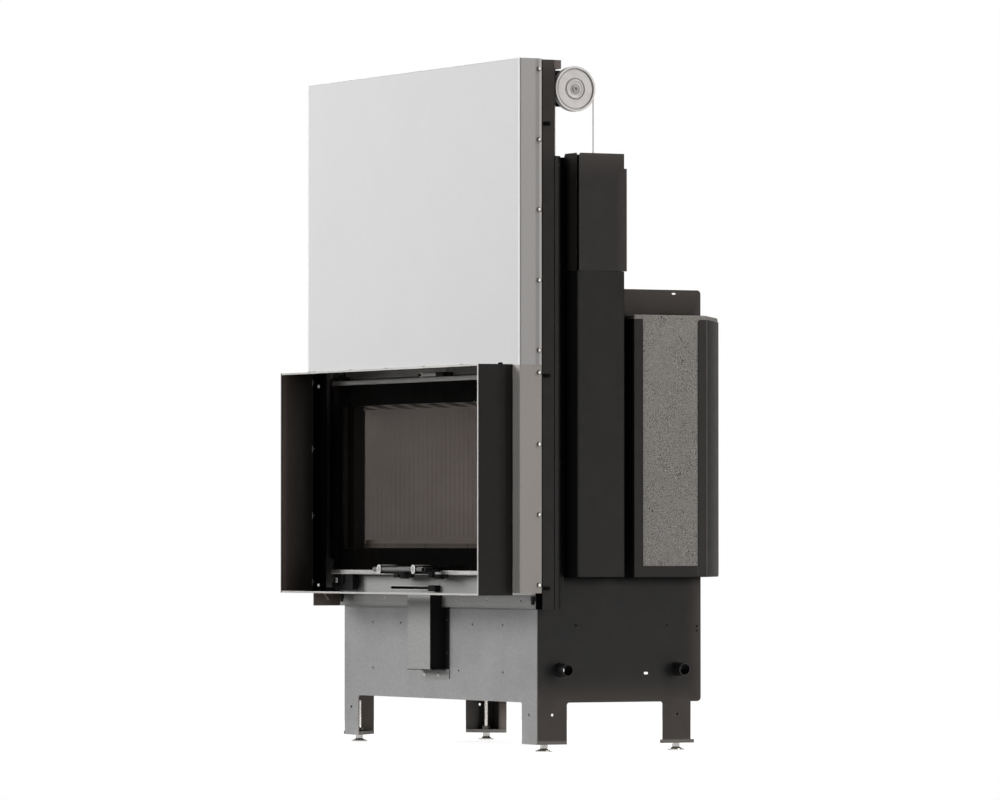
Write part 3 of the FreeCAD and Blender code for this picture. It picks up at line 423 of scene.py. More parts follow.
def duct_sheet(name):
    # the duct's front is galvanised, the bracket on its right side is painted black, and the front edge of its bottom
    # plate is painted black as the shadow under the duct
    m = Mat(name)
    grain = m.noise(300.0, 3.0, 0.75)
    fine = m.noise(960.0, 2.0, 0.6)
    base = m.ramp(grain, (0.33, rgb(112, 112, 111)), (0.68, rgb(160, 160, 158)))
    base = m.mix(0.25, base, m.ramp(fine, (0.36, rgb(108, 108, 107)), (0.66, rgb(190, 190, 188))))
    black = m.ramp(fine, (0.35, (0.002, 0.002, 0.002)), (0.7, (0.005, 0.005, 0.005)))
    side = m.math("MULTIPLY", m.math("GREATER_THAN", m.split("X"), 0.0332), m.math("GREATER_THAN", m.split("Z"), 0.1835))
    sill_shadow = m.math("MULTIPLY", m.math("GREATER_THAN", m.split("Z"), 0.1808), m.math("LESS_THAN", m.split("Z"), 0.1827))
    sill_shadow = m.math("MULTIPLY", sill_shadow, m.math("LESS_THAN", m.split("Y"), -0.1910))
    side = m.math("MAXIMUM", side, sill_shadow)
    m.put(Base_Color=m.mix(side, base, black), Metallic=m.span(side, 0.0, 1.0, 0.45, 0.0),
          Roughness=m.span(grain, 0.3, 0.7, 0.42, 0.60), Specular_IOR_Level=0.2)
    m.bump(fine, 0.10, 0.0004)
    return m.m


def turned_metal(name, col0, col1, r0, r1, metal=1.0, size=900.0):
    m = Mat(name)
    fine = m.noise(size, 3.0, 0.7)
    cloud = m.noise(40.0, 3.0)
    m.put(Base_Color=m.mix(0.35, m.ramp(cloud, (0.3, col0), (0.7, col1)), m.ramp(fine, (0.3, col0), (0.7, col1))),
          Metallic=metal, Roughness=m.span(fine, 0.3, 0.7, r0, r1), Specular_IOR_Level=0.5)
    m.bump(fine, 0.08, 0.0003)
    return m.m


def pulley_metal(name, col0, col1):
    # turned discs: rim painted brighter as a highlight, painted shade in the ring grooves
    m = Mat(name)
    fine = m.noise(900.0, 3.0, 0.7)
    cloud = m.noise(40.0, 3.0)
    dy, dz = m.math("ADD", m.split("Y"), 0.10995), m.math("SUBTRACT", m.split("Z"), 1.523)
    r = m.math("POWER", m.math("ADD", m.math("MULTIPLY", dy, dy), m.math("MULTIPLY", dz, dz)), 0.5)
    col = m.mix(0.35, m.ramp(cloud, (0.3, col0), (0.7, col1)), m.ramp(fine, (0.3, col0), (0.7, col1)))
    rim = m.math("GREATER_THAN", r, 0.0480)
    col = m.mix(m.math("MULTIPLY", rim, 0.75), col, m.ramp(fine, (0.3, G(240)), (0.7, G(250))))
    for ring in (0.0466, 0.0243):
        groove_shade = m.span(m.math("ABSOLUTE", m.math("SUBTRACT", r, ring), 0.0), 0.0006, 0.0016, 0.46, 0.0)
        col = m.mix(groove_shade, col, m.ramp(fine, (0.3, G(40)), (0.7, G(62))))
    m.put(Base_Color=col, Metallic=0.25, Roughness=m.span(fine, 0.3, 0.7, 0.40, 0.54), Specular_IOR_Level=0.5)
    m.bump(fine, 0.08, 0.0003)
    return m.m


def latch_metal(name):
    # bare lever with a near-black grip
    m = Mat(name)
    fine = m.noise(900.0, 3.0, 0.7)
    grip = m.math("GREATER_THAN", m.split("X"), 0.0592)
    col = m.mix(grip, m.ramp(fine, (0.3, rgb(206, 205, 203)), (0.7, rgb(238, 237, 235))), m.ramp(fine, (0.3, (0.0016, 0.0016, 0.0016)), (0.7, (0.0030, 0.0030, 0.0030))))
    m.put(Base_Color=col, Metallic=m.span(grip, 0.0, 1.0, 0.12, 0.0), Roughness=m.span(fine, 0.3, 0.7, 0.36, 0.50), Specular_IOR_Level=0.3)
    m.bump(fine, 0.08, 0.0003)
    return m.m


def screw_metal(name):
    # plated screws: bright where they hold the panel, pale and far less metallic in the surround; head faces turned
    # away from ±X painted darker as shade
    m = Mat(name)
    fine = m.noise(900.0, 3.0, 0.7)
    cloud = m.noise(40.0, 3.0)
    white = m.math("LESS_THAN", m.math("ABSOLUTE", m.split("X"), 0.0), 0.512)
    col = m.mix(0.35, m.ramp(cloud, (0.3, rgb(196, 194, 190)), (0.7, rgb(232, 230, 226))), m.ramp(fine, (0.3, rgb(196, 194, 190)), (0.7, rgb(232, 230, 226))))
    pale = m.ramp(fine, (0.3, rgb(226, 226, 224)), (0.7, rgb(248, 248, 246)))
    crown = m.span(m.math("ABSOLUTE", m.facing("X"), 0.0), 0.62, 0.86, 0.0, 1.0)
    col = m.mix(crown, m.ramp(fine, (0.3, rgb(52, 51, 50)), (0.7, rgb(88, 87, 85))), col)
    m.put(Base_Color=m.mix(white, col, pale), Metallic=m.span(white, 0.0, 1.0, 0.75, 0.1), Roughness=m.span(fine, 0.3, 0.7, 0.22, 0.38), Specular_IOR_Level=0.5)
    m.bump(fine, 0.08, 0.0003)
    return m.m


def brushed(name, col0, col1, r0, r1, stretch, metal=1.0, strength=0.12):
    # drawn or rolled metal with a grain along one axis
    m = Mat(name)
    v = m.stretch(*stretch)
    g = m.noise(1.0, 4.0, 0.7, vec=v)
    cloud = m.noise(25.0, 3.0)
    m.put(Base_Color=m.mix(0.4, m.ramp(cloud, (0.3, col0), (0.7, col1)), m.ramp(g, (0.3, col0), (0.7, col1))),
          Metallic=metal, Roughness=m.span(g, 0.3, 0.7, r0, r1), Specular_IOR_Level=0.5)
    m.bump(g, strength, 0.0003)
    return m.m


def rail_metal(name):
    # drawn aluminium; the upper rail painted darker as shade under the surround's top
    m = Mat(name)
    g = m.noise(1.0, 4.0, 0.7, vec=m.stretch(18, 900, 900))
    cloud = m.noise(25.0, 3.0)
    col = m.mix(0.4, m.ramp(cloud, (0.3, rgb(190, 188, 185)), (0.7, rgb(222, 220, 217))), m.ramp(g, (0.3, rgb(190, 188, 185)), (0.7, rgb(222, 220, 217))))
    dull = m.ramp(g, (0.3, rgb(128, 127, 125)), (0.7, rgb(166, 165, 162)))
    upper = m.math("GREATER_THAN", m.split("Z"), 0.70)
    m.put(Base_Color=m.mix(upper, col, dull), Metallic=0.8, Roughness=m.span(g, 0.3, 0.7, 0.30, 0.46), Specular_IOR_Level=0.5)
    m.bump(g, 0.12, 0.0003)
    return m.m


def handle_metal(name):
    # steel tube through two blackened posts, each with a bright disc at its front end whose outer ring is painted
    # brighter than its grey centre, as a highlight
    m = Mat(name)
    fine = m.noise(900.0, 3.0, 0.7)
    turn = m.noise(1.0, 3.0, 0.6, vec=m.stretch(30, 900, 900))
    dx = m.math("MINIMUM", m.math("ABSOLUTE", m.math("ADD", m.split("X"), 0.092), 0.0),
                m.math("ABSOLUTE", m.math("SUBTRACT", m.split("X"), 0.086), 0.0))
    dz = m.math("SUBTRACT", m.split("Z"), 0.418)
    rad = m.math("SQRT", m.math("ADD", m.math("MULTIPLY", dx, dx), m.math("MULTIPLY", dz, dz)), 0.0)
    disc = m.math("LESS_THAN", m.split("Y"), -0.29800)
    tube = m.math("GREATER_THAN", dx, 0.01026)
    black = m.ramp(fine, (0.3, (0.0012, 0.0012, 0.0012)), (0.7, (0.0034, 0.0034, 0.0034)))
    steel = m.ramp(turn, (0.3, rgb(92, 92, 91)), (0.7, rgb(136, 136, 135)))
    face = m.mix(m.span(rad, 0.0062, 0.0090, 0.0, 1.0), m.ramp(fine, (0.3, rgb(150, 149, 147)), (0.7, rgb(176, 175, 173))),
                 m.ramp(fine, (0.3, rgb(206, 205, 203)), (0.7, rgb(232, 231, 229))))
    col = m.mix(tube, m.mix(disc, black, face), steel)
    m.put(Base_Color=col, Metallic=m.span(tube, 0.0, 1.0, 0.1, 0.35), Roughness=m.span(turn, 0.3, 0.7, 0.34, 0.46), Specular_IOR_Level=0.3)
    m.bump(turn, 0.06, 0.0003)
    return m.m


def edge_metal(name):
    # bare cut edge of the surround; dark brown left of X -0.509, and black paint on the right trim's faces that turn to
    # +X
    m = Mat(name)
    g = m.noise(1.0, 4.0, 0.7, vec=m.stretch(30, 900, 900))
    fine = m.noise(700.0, 2.0, 0.6)
    col = m.ramp(g, (0.3, rgb(164, 162, 159)), (0.7, rgb(198, 196, 193)))
    paint = m.ramp(fine, (0.3, (0.034, 0.028, 0.025)), (0.7, (0.052, 0.043, 0.039)))
    left = m.math("LESS_THAN", m.split("X"), -0.5090)
    flank = m.math("MULTIPLY", m.math("GREATER_THAN", m.facing("X"), 0.6), m.math("GREATER_THAN", m.split("X"), 0.5))
    paint = m.mix(flank, paint, m.ramp(fine, (0.3, (0.0040, 0.0038, 0.0036)), (0.7, (0.0060, 0.0057, 0.0054))))
    left = m.math("MAXIMUM", left, flank)
    m.put(Base_Color=m.mix(left, col, paint), Metallic=m.span(left, 0.0, 1.0, 0.45, 0.0),
          Roughness=m.span(g, 0.3, 0.7, 0.36, 0.52), Specular_IOR_Level=0.3)
    m.bump(fine, 0.08, 0.0003)
    return m.m


def hearth(name):
    # fire-clay floor laid in plates, with ash in the joints
    m = Mat(name)
    cloud = m.noise(9.0, 4.0, 0.6)
    fine = m.noise(240.0, 4.0, 0.7)
    bricks = m.nt.nodes.new("ShaderNodeTexBrick")
    bricks.inputs["Scale"].default_value = 1.0
    bricks.inputs["Mortar Size"].default_value = 0.0016
    bricks.inputs["Brick Width"].default_value = 0.215
    bricks.inputs["Row Height"].default_value = 0.105
    m.nt.links.new(m.co, bricks.inputs["Vector"])
    joint = bricks.outputs["Fac"]
    col = m.ramp(cloud, (0.3, rgb(74, 71, 69)), (0.72, rgb(88, 84, 82)))
    col = m.mix(0.35, col, m.ramp(fine, (0.32, rgb(58, 56, 54)), (0.70, rgb(98, 94, 92))))
    col = m.mix(joint, col, rgb(38, 36, 35))
    nose = m.math("MULTIPLY", m.math("LESS_THAN", m.split("Y"), -0.160), m.math("GREATER_THAN", m.split("Z"), 0.4785))
    col = m.mix(nose, col, m.ramp(fine, (0.32, rgb(100, 95, 92)), (0.70, rgb(114, 109, 106))))
    m.put(Base_Color=col, Roughness=m.span(fine, 0.3, 0.7, 0.86, 0.98), Metallic=0.0, Specular_IOR_Level=0.2)
    m.bump(m.math("SUBTRACT", m.math("MULTIPLY", fine, 0.4), joint), 0.5, 0.0012)
    return m.m


def concrete(name):
    m = Mat(name)
    cloud = m.noise(9.0, 5.0, 0.65)
    mid = m.noise(70.0, 5.0, 0.7)
    fine = m.noise(430.0, 3.0, 0.7)
    pores = m.voronoi(150.0)
    size = m.noise(46.0, 2.0)
    hole = m.span(m.math("SUBTRACT", pores, m.span(size, 0.40, 0.70, 0.0, 0.25)), -0.02, 0.05, 0.0, 1.0)
    grit = m.noise(210.0, 4.0, 0.8)
    rough_patch = m.span(m.noise(13.0, 3.0, 0.6), 0.40, 0.60, 0.45, 1.0)
    col = m.ramp(cloud, (0.28, rgb(152, 151, 147)), (0.74, rgb(178, 177, 173)))
    col = m.mix(0.35, col, m.ramp(mid, (0.30, rgb(130, 129, 125)), (0.72, rgb(190, 189, 185))))
    col = m.mix(m.math("MULTIPLY", rough_patch, 0.32), col, m.ramp(grit, (0.38, rgb(52, 51, 50)), (0.50, rgb(150, 149, 146)), (0.64, rgb(230, 229, 226))))
    col = m.mix(m.math("MULTIPLY", rough_patch, 0.64), col, m.ramp(fine, (0.40, rgb(40, 39, 38)), (0.51, rgb(152, 151, 148)), (0.60, rgb(236, 235, 232))))
    col = m.mix(hole, rgb(52, 50, 47), col)
    m.put(Base_Color=col, Roughness=m.span(mid, 0.3, 0.7, 0.82, 0.96), Metallic=0.0, Specular_IOR_Level=0.25)
    h = m.math("ADD", m.math("MULTIPLY", hole, 1.6), m.math("ADD", m.math("MULTIPLY", fine, 0.5), mid))
    m.bump(h, 0.55, 0.0011)
    return m.m


def lining(name):
    m = Mat(name)
    cloud = m.noise(8.0, 4.0, 0.6)
    fine = m.noise(260.0, 4.0, 0.7)
    soot_and_shade = m.span(m.split("Z"), 0.50, 0.86, 0.0, 0.08)
    col = m.ramp(cloud, (0.3, rgb(142, 137, 136)), (0.72, rgb(156, 151, 150)))
    col = m.mix(0.30, col, m.ramp(fine, (0.32, rgb(122, 118, 116)), (0.70, rgb(170, 165, 163))))
    col = m.mix(soot_and_shade, col, rgb(104, 98, 94))
    m.put(Base_Color=col, Roughness=m.span(fine, 0.3, 0.7, 0.85, 0.97), Metallic=0.0, Specular_IOR_Level=0.2)
    m.bump(fine, 0.35, 0.0008)
    return m.m


def fibre(name, dark, light, twist):
    m = Mat(name)
    w = m.noise(1.0, 3.0, 0.7, vec=m.stretch(*twist))
    fine = m.noise(900.0, 3.0, 0.7)
    col = m.mix(0.4, m.ramp(w, (0.3, dark), (0.7, light)), m.ramp(fine, (0.3, dark), (0.72, light)))
    m.put(Base_Color=col, Roughness=m.span(fine, 0.3, 0.7, 0.85, 1.0), Metallic=0.0, Specular_IOR_Level=0.15, Sheen_Weight=0.15)
    m.bump(m.math("ADD", w, fine), 0.6, 0.0006)
    return m.m


def rope_fibre(name, pitch):
    # three-strand rope: painted light on the crowns and painted shade in the grooves between the strands, and painted
    # shade on the underside
    m = Mat(name)
    fine = m.noise(900.0, 3.0, 0.7)
    w = m.noise(1.0, 3.0, 0.7, vec=m.stretch(160, 420, 420))
    z = m.split("Z")
    turn = m.math("ARCTAN2", m.math("SUBTRACT", z, 0.80395), m.math("ADD", m.split("Y"), 0.18315))
    phase = m.math("SUBTRACT", m.math("MULTIPLY", turn, 3.0), m.math("MULTIPLY", m.split("X"), 6.0 * math.pi / pitch))
    crown = m.span(m.math("COSINE", phase, 0.0), -0.9, 0.7, 0.10, 1.0)
    top = m.span(z, 0.7985, 0.8085, 0.42, 1.0)
    tone = m.math("MULTIPLY", m.math("MULTIPLY", crown, top), m.span(w, 0.3, 0.7, 0.75, 1.1))
    col = m.ramp(tone, (0.0, (0.020, 0.018, 0.017)), (0.45, (0.16, 0.148, 0.138)), (1.0, (0.52, 0.49, 0.465)))
    col = m.mix(0.2, col, m.ramp(fine, (0.3, (0.05, 0.046, 0.043)), (0.72, (0.42, 0.395, 0.375))))
    m.put(Base_Color=col, Roughness=m.span(fine, 0.3, 0.7, 0.85, 1.0), Metallic=0.0, Specular_IOR_Level=0.15, Sheen_Weight=0.15)
    m.bump(m.math("ADD", w, fine), 0.5, 0.0006)
    return m.m


def plastic(name, dark, light, r0, r1, spec=0.4):
    m = Mat(name)
    fine = m.noise(1100.0, 2.0, 0.6)
    cloud = m.noise(30.0, 3.0)
    m.put(Base_Color=m.mix(0.25, m.ramp(cloud, (0.3, dark), (0.7, light)), m.ramp(fine, (0.3, dark), (0.7, light))),
          Roughness=m.span(cloud, 0.3, 0.7, r0, r1), Metallic=0.0, Specular_IOR_Level=spec)
    m.bump(fine, 0.10, 0.0003)
    return m.m


def clear_glass(name):
    # heat-proof glass: clear with a faint smoky tint and a clean reflection
    m = Mat(name)
    nt = m.nt
    smear = m.noise(6.0, 4.0, 0.6)
    m.put(Base_Color=m.ramp(smear, (0.3, (0.010, 0.009, 0.008)), (0.75, (0.022, 0.020, 0.018))),
          Roughness=m.span(smear, 0.3, 0.75, 0.02, 0.07), Metallic=0.0, Specular_IOR_Level=0.5)
    clear = nt.nodes.new("ShaderNodeBsdfTransparent")
    clear.inputs[0].default_value = (0.90, 0.885, 0.87, 1)
    lw = nt.nodes.new("ShaderNodeLayerWeight")
    lw.inputs[0].default_value = 0.5
    gloss = m.math("ADD", m.math("MULTIPLY", m.math("POWER", lw.outputs["Facing"], 4.0), 0.5), 0.03)
    mixer = nt.nodes.new("ShaderNodeMixShader")
    nt.links.new(gloss, mixer.inputs[0])
    nt.links.new(clear.outputs[0], mixer.inputs[1])
    nt.links.new(m.b.outputs[0], mixer.inputs[2])
    nt.links.new(mixer.outputs[0], m.out.inputs[0])
    return m.m


G = lambda v: (lin(v),) * 3
M_BLACK = sheet_paint("black_paint", (0.0048, 0.0047, 0.0047), (0.0060, 0.0058, 0.0057), 0.47, 0.53, 0.30)
M_BLACK_IN = sheet_paint("black_paint_sooted", (0.0016, 0.0015, 0.0015), (0.0034, 0.0032, 0.0031), 0.60, 0.78, 0.12)
M_SURROUND = shaded_paint("surround_paint", (0.0030, 0.0028, 0.0027), (0.0052, 0.0049, 0.0047), (0.252, 0.196, 0.170), 0.26, inner_wall_light, matt=-0.2645)
M_UPRIGHT_L = shaded_paint("upright_paint", (0.0042, 0.0041, 0.0041), (0.0066, 0.0064, 0.0063), (0.340, 0.275, 0.240), 0.30, low_tab_light)
PAINT = ((0.0048, 0.0047, 0.0047), (0.0060, 0.0058, 0.0057), (0.072, 0.060, 0.053), 0.30)
M_SIDE = shaded_paint("side_plate_paint", *PAINT, side_plate_light, shade=under_casing_shadow)
M_BAR = shaded_paint("crossbar_paint", *PAINT[:2], (0.190, 0.162, 0.150), 0.30, bar_end)
M_UPRIGHT = shaded_paint("upright_right_paint", *PAINT, upright_top_light, seam=-0.2020)
M_FRAME = frame_paint("cladding_frame_paint")
M_REAR = shaded_paint("rear_plate_paint", (0.0048, 0.0047, 0.0047), (0.0060, 0.0058, 0.0057), (0.150, 0.130, 0.118), 0.30, rear_leg_light)
M_SLEEVE = sleeve_paint("sleeve_paint")
M_COVER = shaded_paint("cover_paint", *PAINT[:2], (0.068, 0.061, 0.057), 0.30, cover_light, shade=cover_front_shade)
M_PANEL = panel_sheet("light_sheet", G(196), G(214))
M_STRIP = zinc("side_strip_sheet", rgb(172, 168, 164), rgb(190, 186, 182), 0.40, 0.58, 0.05, speck=0.25, size=420.0, bump=0.05)
M_ZINC = zinc("zinc_sheet", rgb(112, 112, 111), rgb(160, 160, 158), 0.42, 0.60, 0.45)
M_BASE = zinc("base_zinc_sheet", rgb(112, 112, 112), rgb(160, 160, 160), 0.42, 0.60, 0.45, speck=0.75, tilt=0.17, shade=hole_rim_shade)
M_FSTRIP = zinc("strip_zinc_sheet", rgb(112, 112, 111), rgb(160, 160, 158), 0.42, 0.60, 0.45, lift=upper_strip_light, shade=strip_shade)
M_DUCT = duct_sheet("duct_sheet")
M_GUIDE = zinc("guide_zinc", rgb(110, 110, 109), rgb(160, 160, 158), 0.40, 0.58, 0.6)
M_FOOTPLATE = zinc("foot_plate_steel", rgb(84, 82, 80), rgb(124, 122, 119), 0.42, 0.62, 0.5)
M_PLATED = turned_metal("plated_steel", rgb(196, 194, 190), rgb(232, 230, 226), 0.20, 0.36)
M_LATCH = latch_metal("latch_steel")
M_SCREW = screw_metal("screw_steel")
M_CLIP = brushed("clip_steel", rgb(222, 220, 216), rgb(246, 244, 240), 0.36, 0.50, (30, 900, 900), metal=0.1)
M_HARD = sheet_paint("black_oxide", (0.010, 0.010, 0.010), (0.018, 0.018, 0.018), 0.30, 0.46, 0.45, grain=2200)
M_EDGE = edge_metal("bare_edge")
M_TAB = brushed("tab_steel", rgb(120, 118, 116), rgb(150, 148, 146), 0.40, 0.55, (30, 900, 900), metal=0.5)
M_RAIL = rail_metal("rail_aluminium")
M_PEG = handle_metal("handle_steel")
# lighter zinc for the air slot's lips: a painted highlight
M_LIP = zinc("lip_zinc", rgb(170, 170, 168), rgb(206, 206, 204), 0.36, 0.50, 0.2)
M_AXLE = turned_metal("axle_steel", rgb(168, 167, 166), rgb(200, 199, 198), 0.40, 0.56, metal=0.3)
M_BOLT = sheet_paint("matt_black", (0.0030, 0.0030, 0.0030), (0.0060, 0.0060, 0.0060), 0.62, 0.80, 0.12, grain=2200)
M_PULLEY = pulley_metal("pulley_metal", rgb(215, 214, 214), rgb(237, 237, 237))
M_CABLE = turned_metal("cable_steel", rgb(206, 204, 200), rgb(240, 238, 234), 0.34, 0.50, metal=0.35)
M_WEIGHT = sheet_paint("raw_plate_steel", (0.060, 0.058, 0.056), (0.11, 0.107, 0.104), 0.40, 0.6, 0.4)
M_SLAB = concrete("cast_slab")
M_LINING = lining("ribbed_lining")
M_HEARTH = hearth("hearth_fireclay")
M_ROPE = rope_fibre("seal_rope_fibre", 0.285)
M_GASKET = fibre("gasket_fibre", (0.020, 0.019, 0.018), (0.055, 0.052, 0.050), (300, 900, 300))
M_NYLON = plastic("roller_nylon", rgb(196, 194, 186), rgb(214, 212, 204), 0.40, 0.55)
M_GLASS = clear_glass("door_glass_clear")
M_BORDER = plastic("glass_printed_border", (0.0012, 0.0011, 0.0010), (0.0022, 0.0020, 0.0019), 0.08, 0.14, spec=0.10)

LOOK = {
    "base_front_plate": M_BASE, "front_strips": M_FSTRIP, "air_inlet_box": M_DUCT, "guide_channels": M_GUIDE,
    "lower_side_strips": M_STRIP, "front_panel": M_PANEL, "foot_plates": M_FOOTPLATE,
    "carrying_sleeves": M_SLEEVE, "cladding_side_frames": M_FRAME, "base_rear_plate": M_REAR, "top_crossbar": M_BAR, "firebox_front_frame": M_BLACK_IN, "firebox_shell": M_BLACK_IN,
    "surround_shell": M_SURROUND, "surround_edge_trim": M_EDGE, "panel_screws": M_SCREW,
    "side_plate_right": M_SIDE, "side_plate_left": M_SIDE, "upright_right": M_UPRIGHT, "counterweight_covers": M_COVER,
    "black_bolts": M_BOLT, "strip_rivets": M_HARD, "upright_left": M_UPRIGHT_L, "door_frame": M_BLACK_IN, "door_gasket": M_GASKET,
    "door_rails": M_RAIL, "handle_pegs": M_PEG, "door_carriage_arms": M_HARD, "door_hinges": M_BOLT,
    "door_latch_lever": M_LATCH, "air_control_slide": M_BOLT, "pulley_left": M_PULLEY, "pulley_right": M_PULLEY,
    "pulley_axles": M_AXLE, "counterweight_left": M_WEIGHT, "counterweight_right": M_WEIGHT,
    "cladding_side_slabs": M_SLAB, "cladding_rear_slabs": M_SLAB, "lining_panels": M_LINING,
    "hearth_plate": M_HEARTH, "smoke_baffle": M_LINING, "seal_rope": M_ROPE, "lift_cables": M_CABLE, "door_glass": M_GLASS,
}
for name, ob in N.items():
    look = LOOK.get(name, M_BLACK)
    if name.startswith("levelling_foot"):
        look = M_PLATED
    if name.startswith("guide_roller"):
        look = M_NYLON
    ob.data.materials.clear()
    ob.data.materials.append(look)


# ------------------------------------------------------------------ helpers
def piece(name, bm, material, body, stands_for=(), smooth=True):
    me = bpy.data.meshes.new(name)
    bmesh.ops.recalc_face_normals(bm, faces=bm.faces)
    bm.to_mesh(me)
    bm.free()
    for p in me.polygons:
        p.use_smooth = smooth
    me.materials.append(material)
    ob = bpy.data.objects.new(name, me)
    scene.collection.objects.link(ob)
    if body:
        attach(ob, body)
    if stands_for:
        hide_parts(*stands_for)
    return ob


def add_box(bm, x0, x1, y0, y1, z0, z1, bevel=0.0, seg=2):
    vs = [bm.verts.new(P(x, y, z)) for z in (z0, z1) for y in (y0, y1) for x in (x0, x1)]
    faces = [(0, 1, 3, 2), (4, 6, 7, 5), (0, 4, 5, 1), (2, 3, 7, 6), (0, 2, 6, 4), (1, 5, 7, 3)]
    fs = [bm.faces.new([vs[i] for i in f]) for f in faces]
    if bevel:
        edges = list({e for f in fs for e in f.edges})
        bmesh.ops.bevel(bm, geom=edges, offset=bevel / 1000.0, segments=seg, affect="EDGES", profile=0.6)


def add_tube(bm, path, ring, close=True):
    # path: list of (point, axis u, axis v); ring: list of (u, v) offsets in mm, may depend on the step
    rows = []
    for k, (c, u, v) in enumerate(path):
        pts = ring(k) if callable(ring) else ring
        rows.append([bm.verts.new(c + u * (a / 1000.0) + v * (b / 1000.0)) for a, b in pts])
    for r0, r1 in zip(rows, rows[1:]):
        n = len(r0)
        for i in range(n):
            bm.faces.new((r0[i], r0[(i + 1) % n], r1[(i + 1) % n], r1[i]))
    if close:
        bm.faces.new(list(reversed(rows[0])))
        bm.faces.new(rows[-1])


def add_lathe(bm, centre, axis, profile, n=32):
    # profile: (along axis, radius) pairs in mm
    a = Vector(axis).normalized()
    u = a.orthogonal().normalized()
    v = a.cross(u)
    rows = []
    for t, r in profile:
        c = centre + a * (t / 1000.0)
        if r <= 1e-6:
            rows.append([bm.verts.new(c)])
        else:
            rows.append([bm.verts.new(c + (u * math.cos(2 * math.pi * i / n) + v * math.sin(2 * math.pi * i / n)) * (r / 1000.0))
                         for i in range(n)])
    for r0, r1 in zip(rows, rows[1:]):
        for i in range(n):
            j = (i + 1) % n
            if len(r0) == 1 and len(r1) == 1:
                continue
            if len(r0) == 1:
                bm.faces.new((r0[0], r1[j], r1[i]))
            elif len(r1) == 1:
                bm.faces.new((r0[i], r0[j], r1[0]))
            else:
                bm.faces.new((r0[i], r0[j], r1[j], r1[i]))


# --------------------------------------------------------------- seal rope
bm = bmesh.new()
strands, pitch, core, rad = 3, 285.0, 3.5, 3.4
x0, x1, steps = -392.0, 402.0, 244
for s in range(strands):
    path = []
    for k in range(steps + 1):
        x = x0 + (x1 - x0) * k / steps
        a = 2 * math.pi * (x / pitch + s / strands)
        path.append((P(x, 79 + core * math.cos(a), 803.95 + core * math.sin(a)), Vector((0, 1, 0)), Vector((0, 0, 1))))
    ring = [(rad * math.cos(2 * math.pi * q / 10), rad * math.sin(2 * math.pi * q / 10)) for q in range(10)]
    add_tube(bm, path, ring)
piece("seal_rope_strands", bm, M_ROPE, "chassis", ["seal_rope"])

# -------------------------------------------------------------- lift cables
PX, PY, PZ, ARC = 529.0, 152.2, 1523.0, 50.0
LOBES = 6


def cable_ring(k, step):
    t = 2 * math.pi * k * step / 42.0
    pts = []
    for q in range(18):
        a = 2 * math.pi * q / 18
        r = 1.5 * (0.90 + 0.10 * abs(math.cos(LOBES / 2.0 * a)))
        pts.append((r * math.cos(a + t), r * math.sin(a + t)))
    return pts


for sx, side in ((1, "right"), (-1, "left")):
    for run, y, za, zb, ends in (("front", PY - ARC, 835.5, PZ, ("door", "chassis")),
                                 ("rear", PY + ARC, 1287.0, PZ, ("counterweight_%s_body" % side, "chassis"))):
        bm = bmesh.new()
        n = int((zb - za) / 3.0)
        path = [(P(sx * PX, y, za + (zb - za) * k / n), Vector((1, 0, 0)), Vector((0, 1, 0))) for k in range(n + 1)]
        add_tube(bm, path, lambda k: cable_ring(k, 3.0))
        ob = piece("cable_%s_%s" % (run, side), bm, M_CABLE, None, ["lift_cables"])
        if ends[0] == "door":
            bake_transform(ob)
        else:
            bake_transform(ob)
    bm = bmesh.new()
    path = []
    for k in range(61):
        a = math.pi * k / 60
        c = P(sx * PX, PY - ARC * math.cos(a), PZ + ARC * math.sin(a))
        path.append((c, Vector((1, 0, 0)), Vector((0, math.cos(a), -math.sin(a)))))
    add_tube(bm, path, lambda k: cable_ring(k, 2.6))
    piece("cable_wrap_%s" % side, bm, M_CABLE, "chassis", ["lift_cables"])

# ------------------------------------------------- door glass: clear and border
CX, CZ0, CZ1 = 428.5, 467.5, 808.5
bm = bmesh.new()
add_box(bm, -CX, CX, 35.02, 38.98, CZ0, CZ1)
piece("glass_pane", bm, M_GLASS, "door", ["door_glass"], smooth=False)
bm = bmesh.new()
o = [(-478, 415.6), (478, 415.6), (478, 858.9), (-478, 858.9)]
i = [(-CX, CZ0), (CX, CZ0), (CX, CZ1), (-CX, CZ1)]
rows = []
for y in (35.0, 39.0):
    e = 0.8 if y == 35.0 else 0.0
    rows.append([bm.verts.new(P(x + (e if x < 0 else -e), y, z + (e if z < 500 else -e))) for x, z in o])
    if y == 35.0:
        rows.append([bm.verts.new(P(x, y + 0.8, z)) for x, z in o])
inner = [[bm.verts.new(P(x, y, z)) for x, z in i] for y in (35.0, 39.0)]
front, lip, back = rows
for a in range(4):
    b = (a + 1) % 4
    bm.faces.new((front[a], front[b], inner[0][b], inner[0][a]))
    bm.faces.new((front[b], front[a], lip[a], lip[b]))
    bm.faces.new((lip[b], lip[a], back[a], back[b]))
    bm.faces.new((back[b], back[a], inner[1][a], inner[1][b]))
    bm.faces.new((inner[0][a], inner[0][b], inner[1][b], inner[1][a]))
piece("glass_border", bm, M_BORDER, "door", ["door_glass"], smooth=False)

# ---------------------------------------------------------- small fittings
# press-in nuts around the holes of the base front and of the strip above it
bm = bmesh.new()
for hx, hz in [(-341, 290), (-193, 290), (175, 290), (327, 290), (-341, 181), (105, 181), (327, 181)]:
    add_lathe(bm, P(hx, 73.5, hz), (0, -1, 0), [(0.0, 2.55), (0.5, 2.6), (0.9, 3.0), (0.9, 4.2), (0.5, 4.9), (0.0, 5.0)], 24)
for hx in (-422, -263, 109, 264, 431):
    add_lathe(bm, P(hx, 65.6, 347), (0, -1, 0), [(0.0, 2.55), (0.5, 2.6), (0.9, 3.0), (0.9, 4.2), (0.5, 4.9), (0.0, 5.0)], 24)
piece("press_nuts", bm, M_ZINC, "chassis")

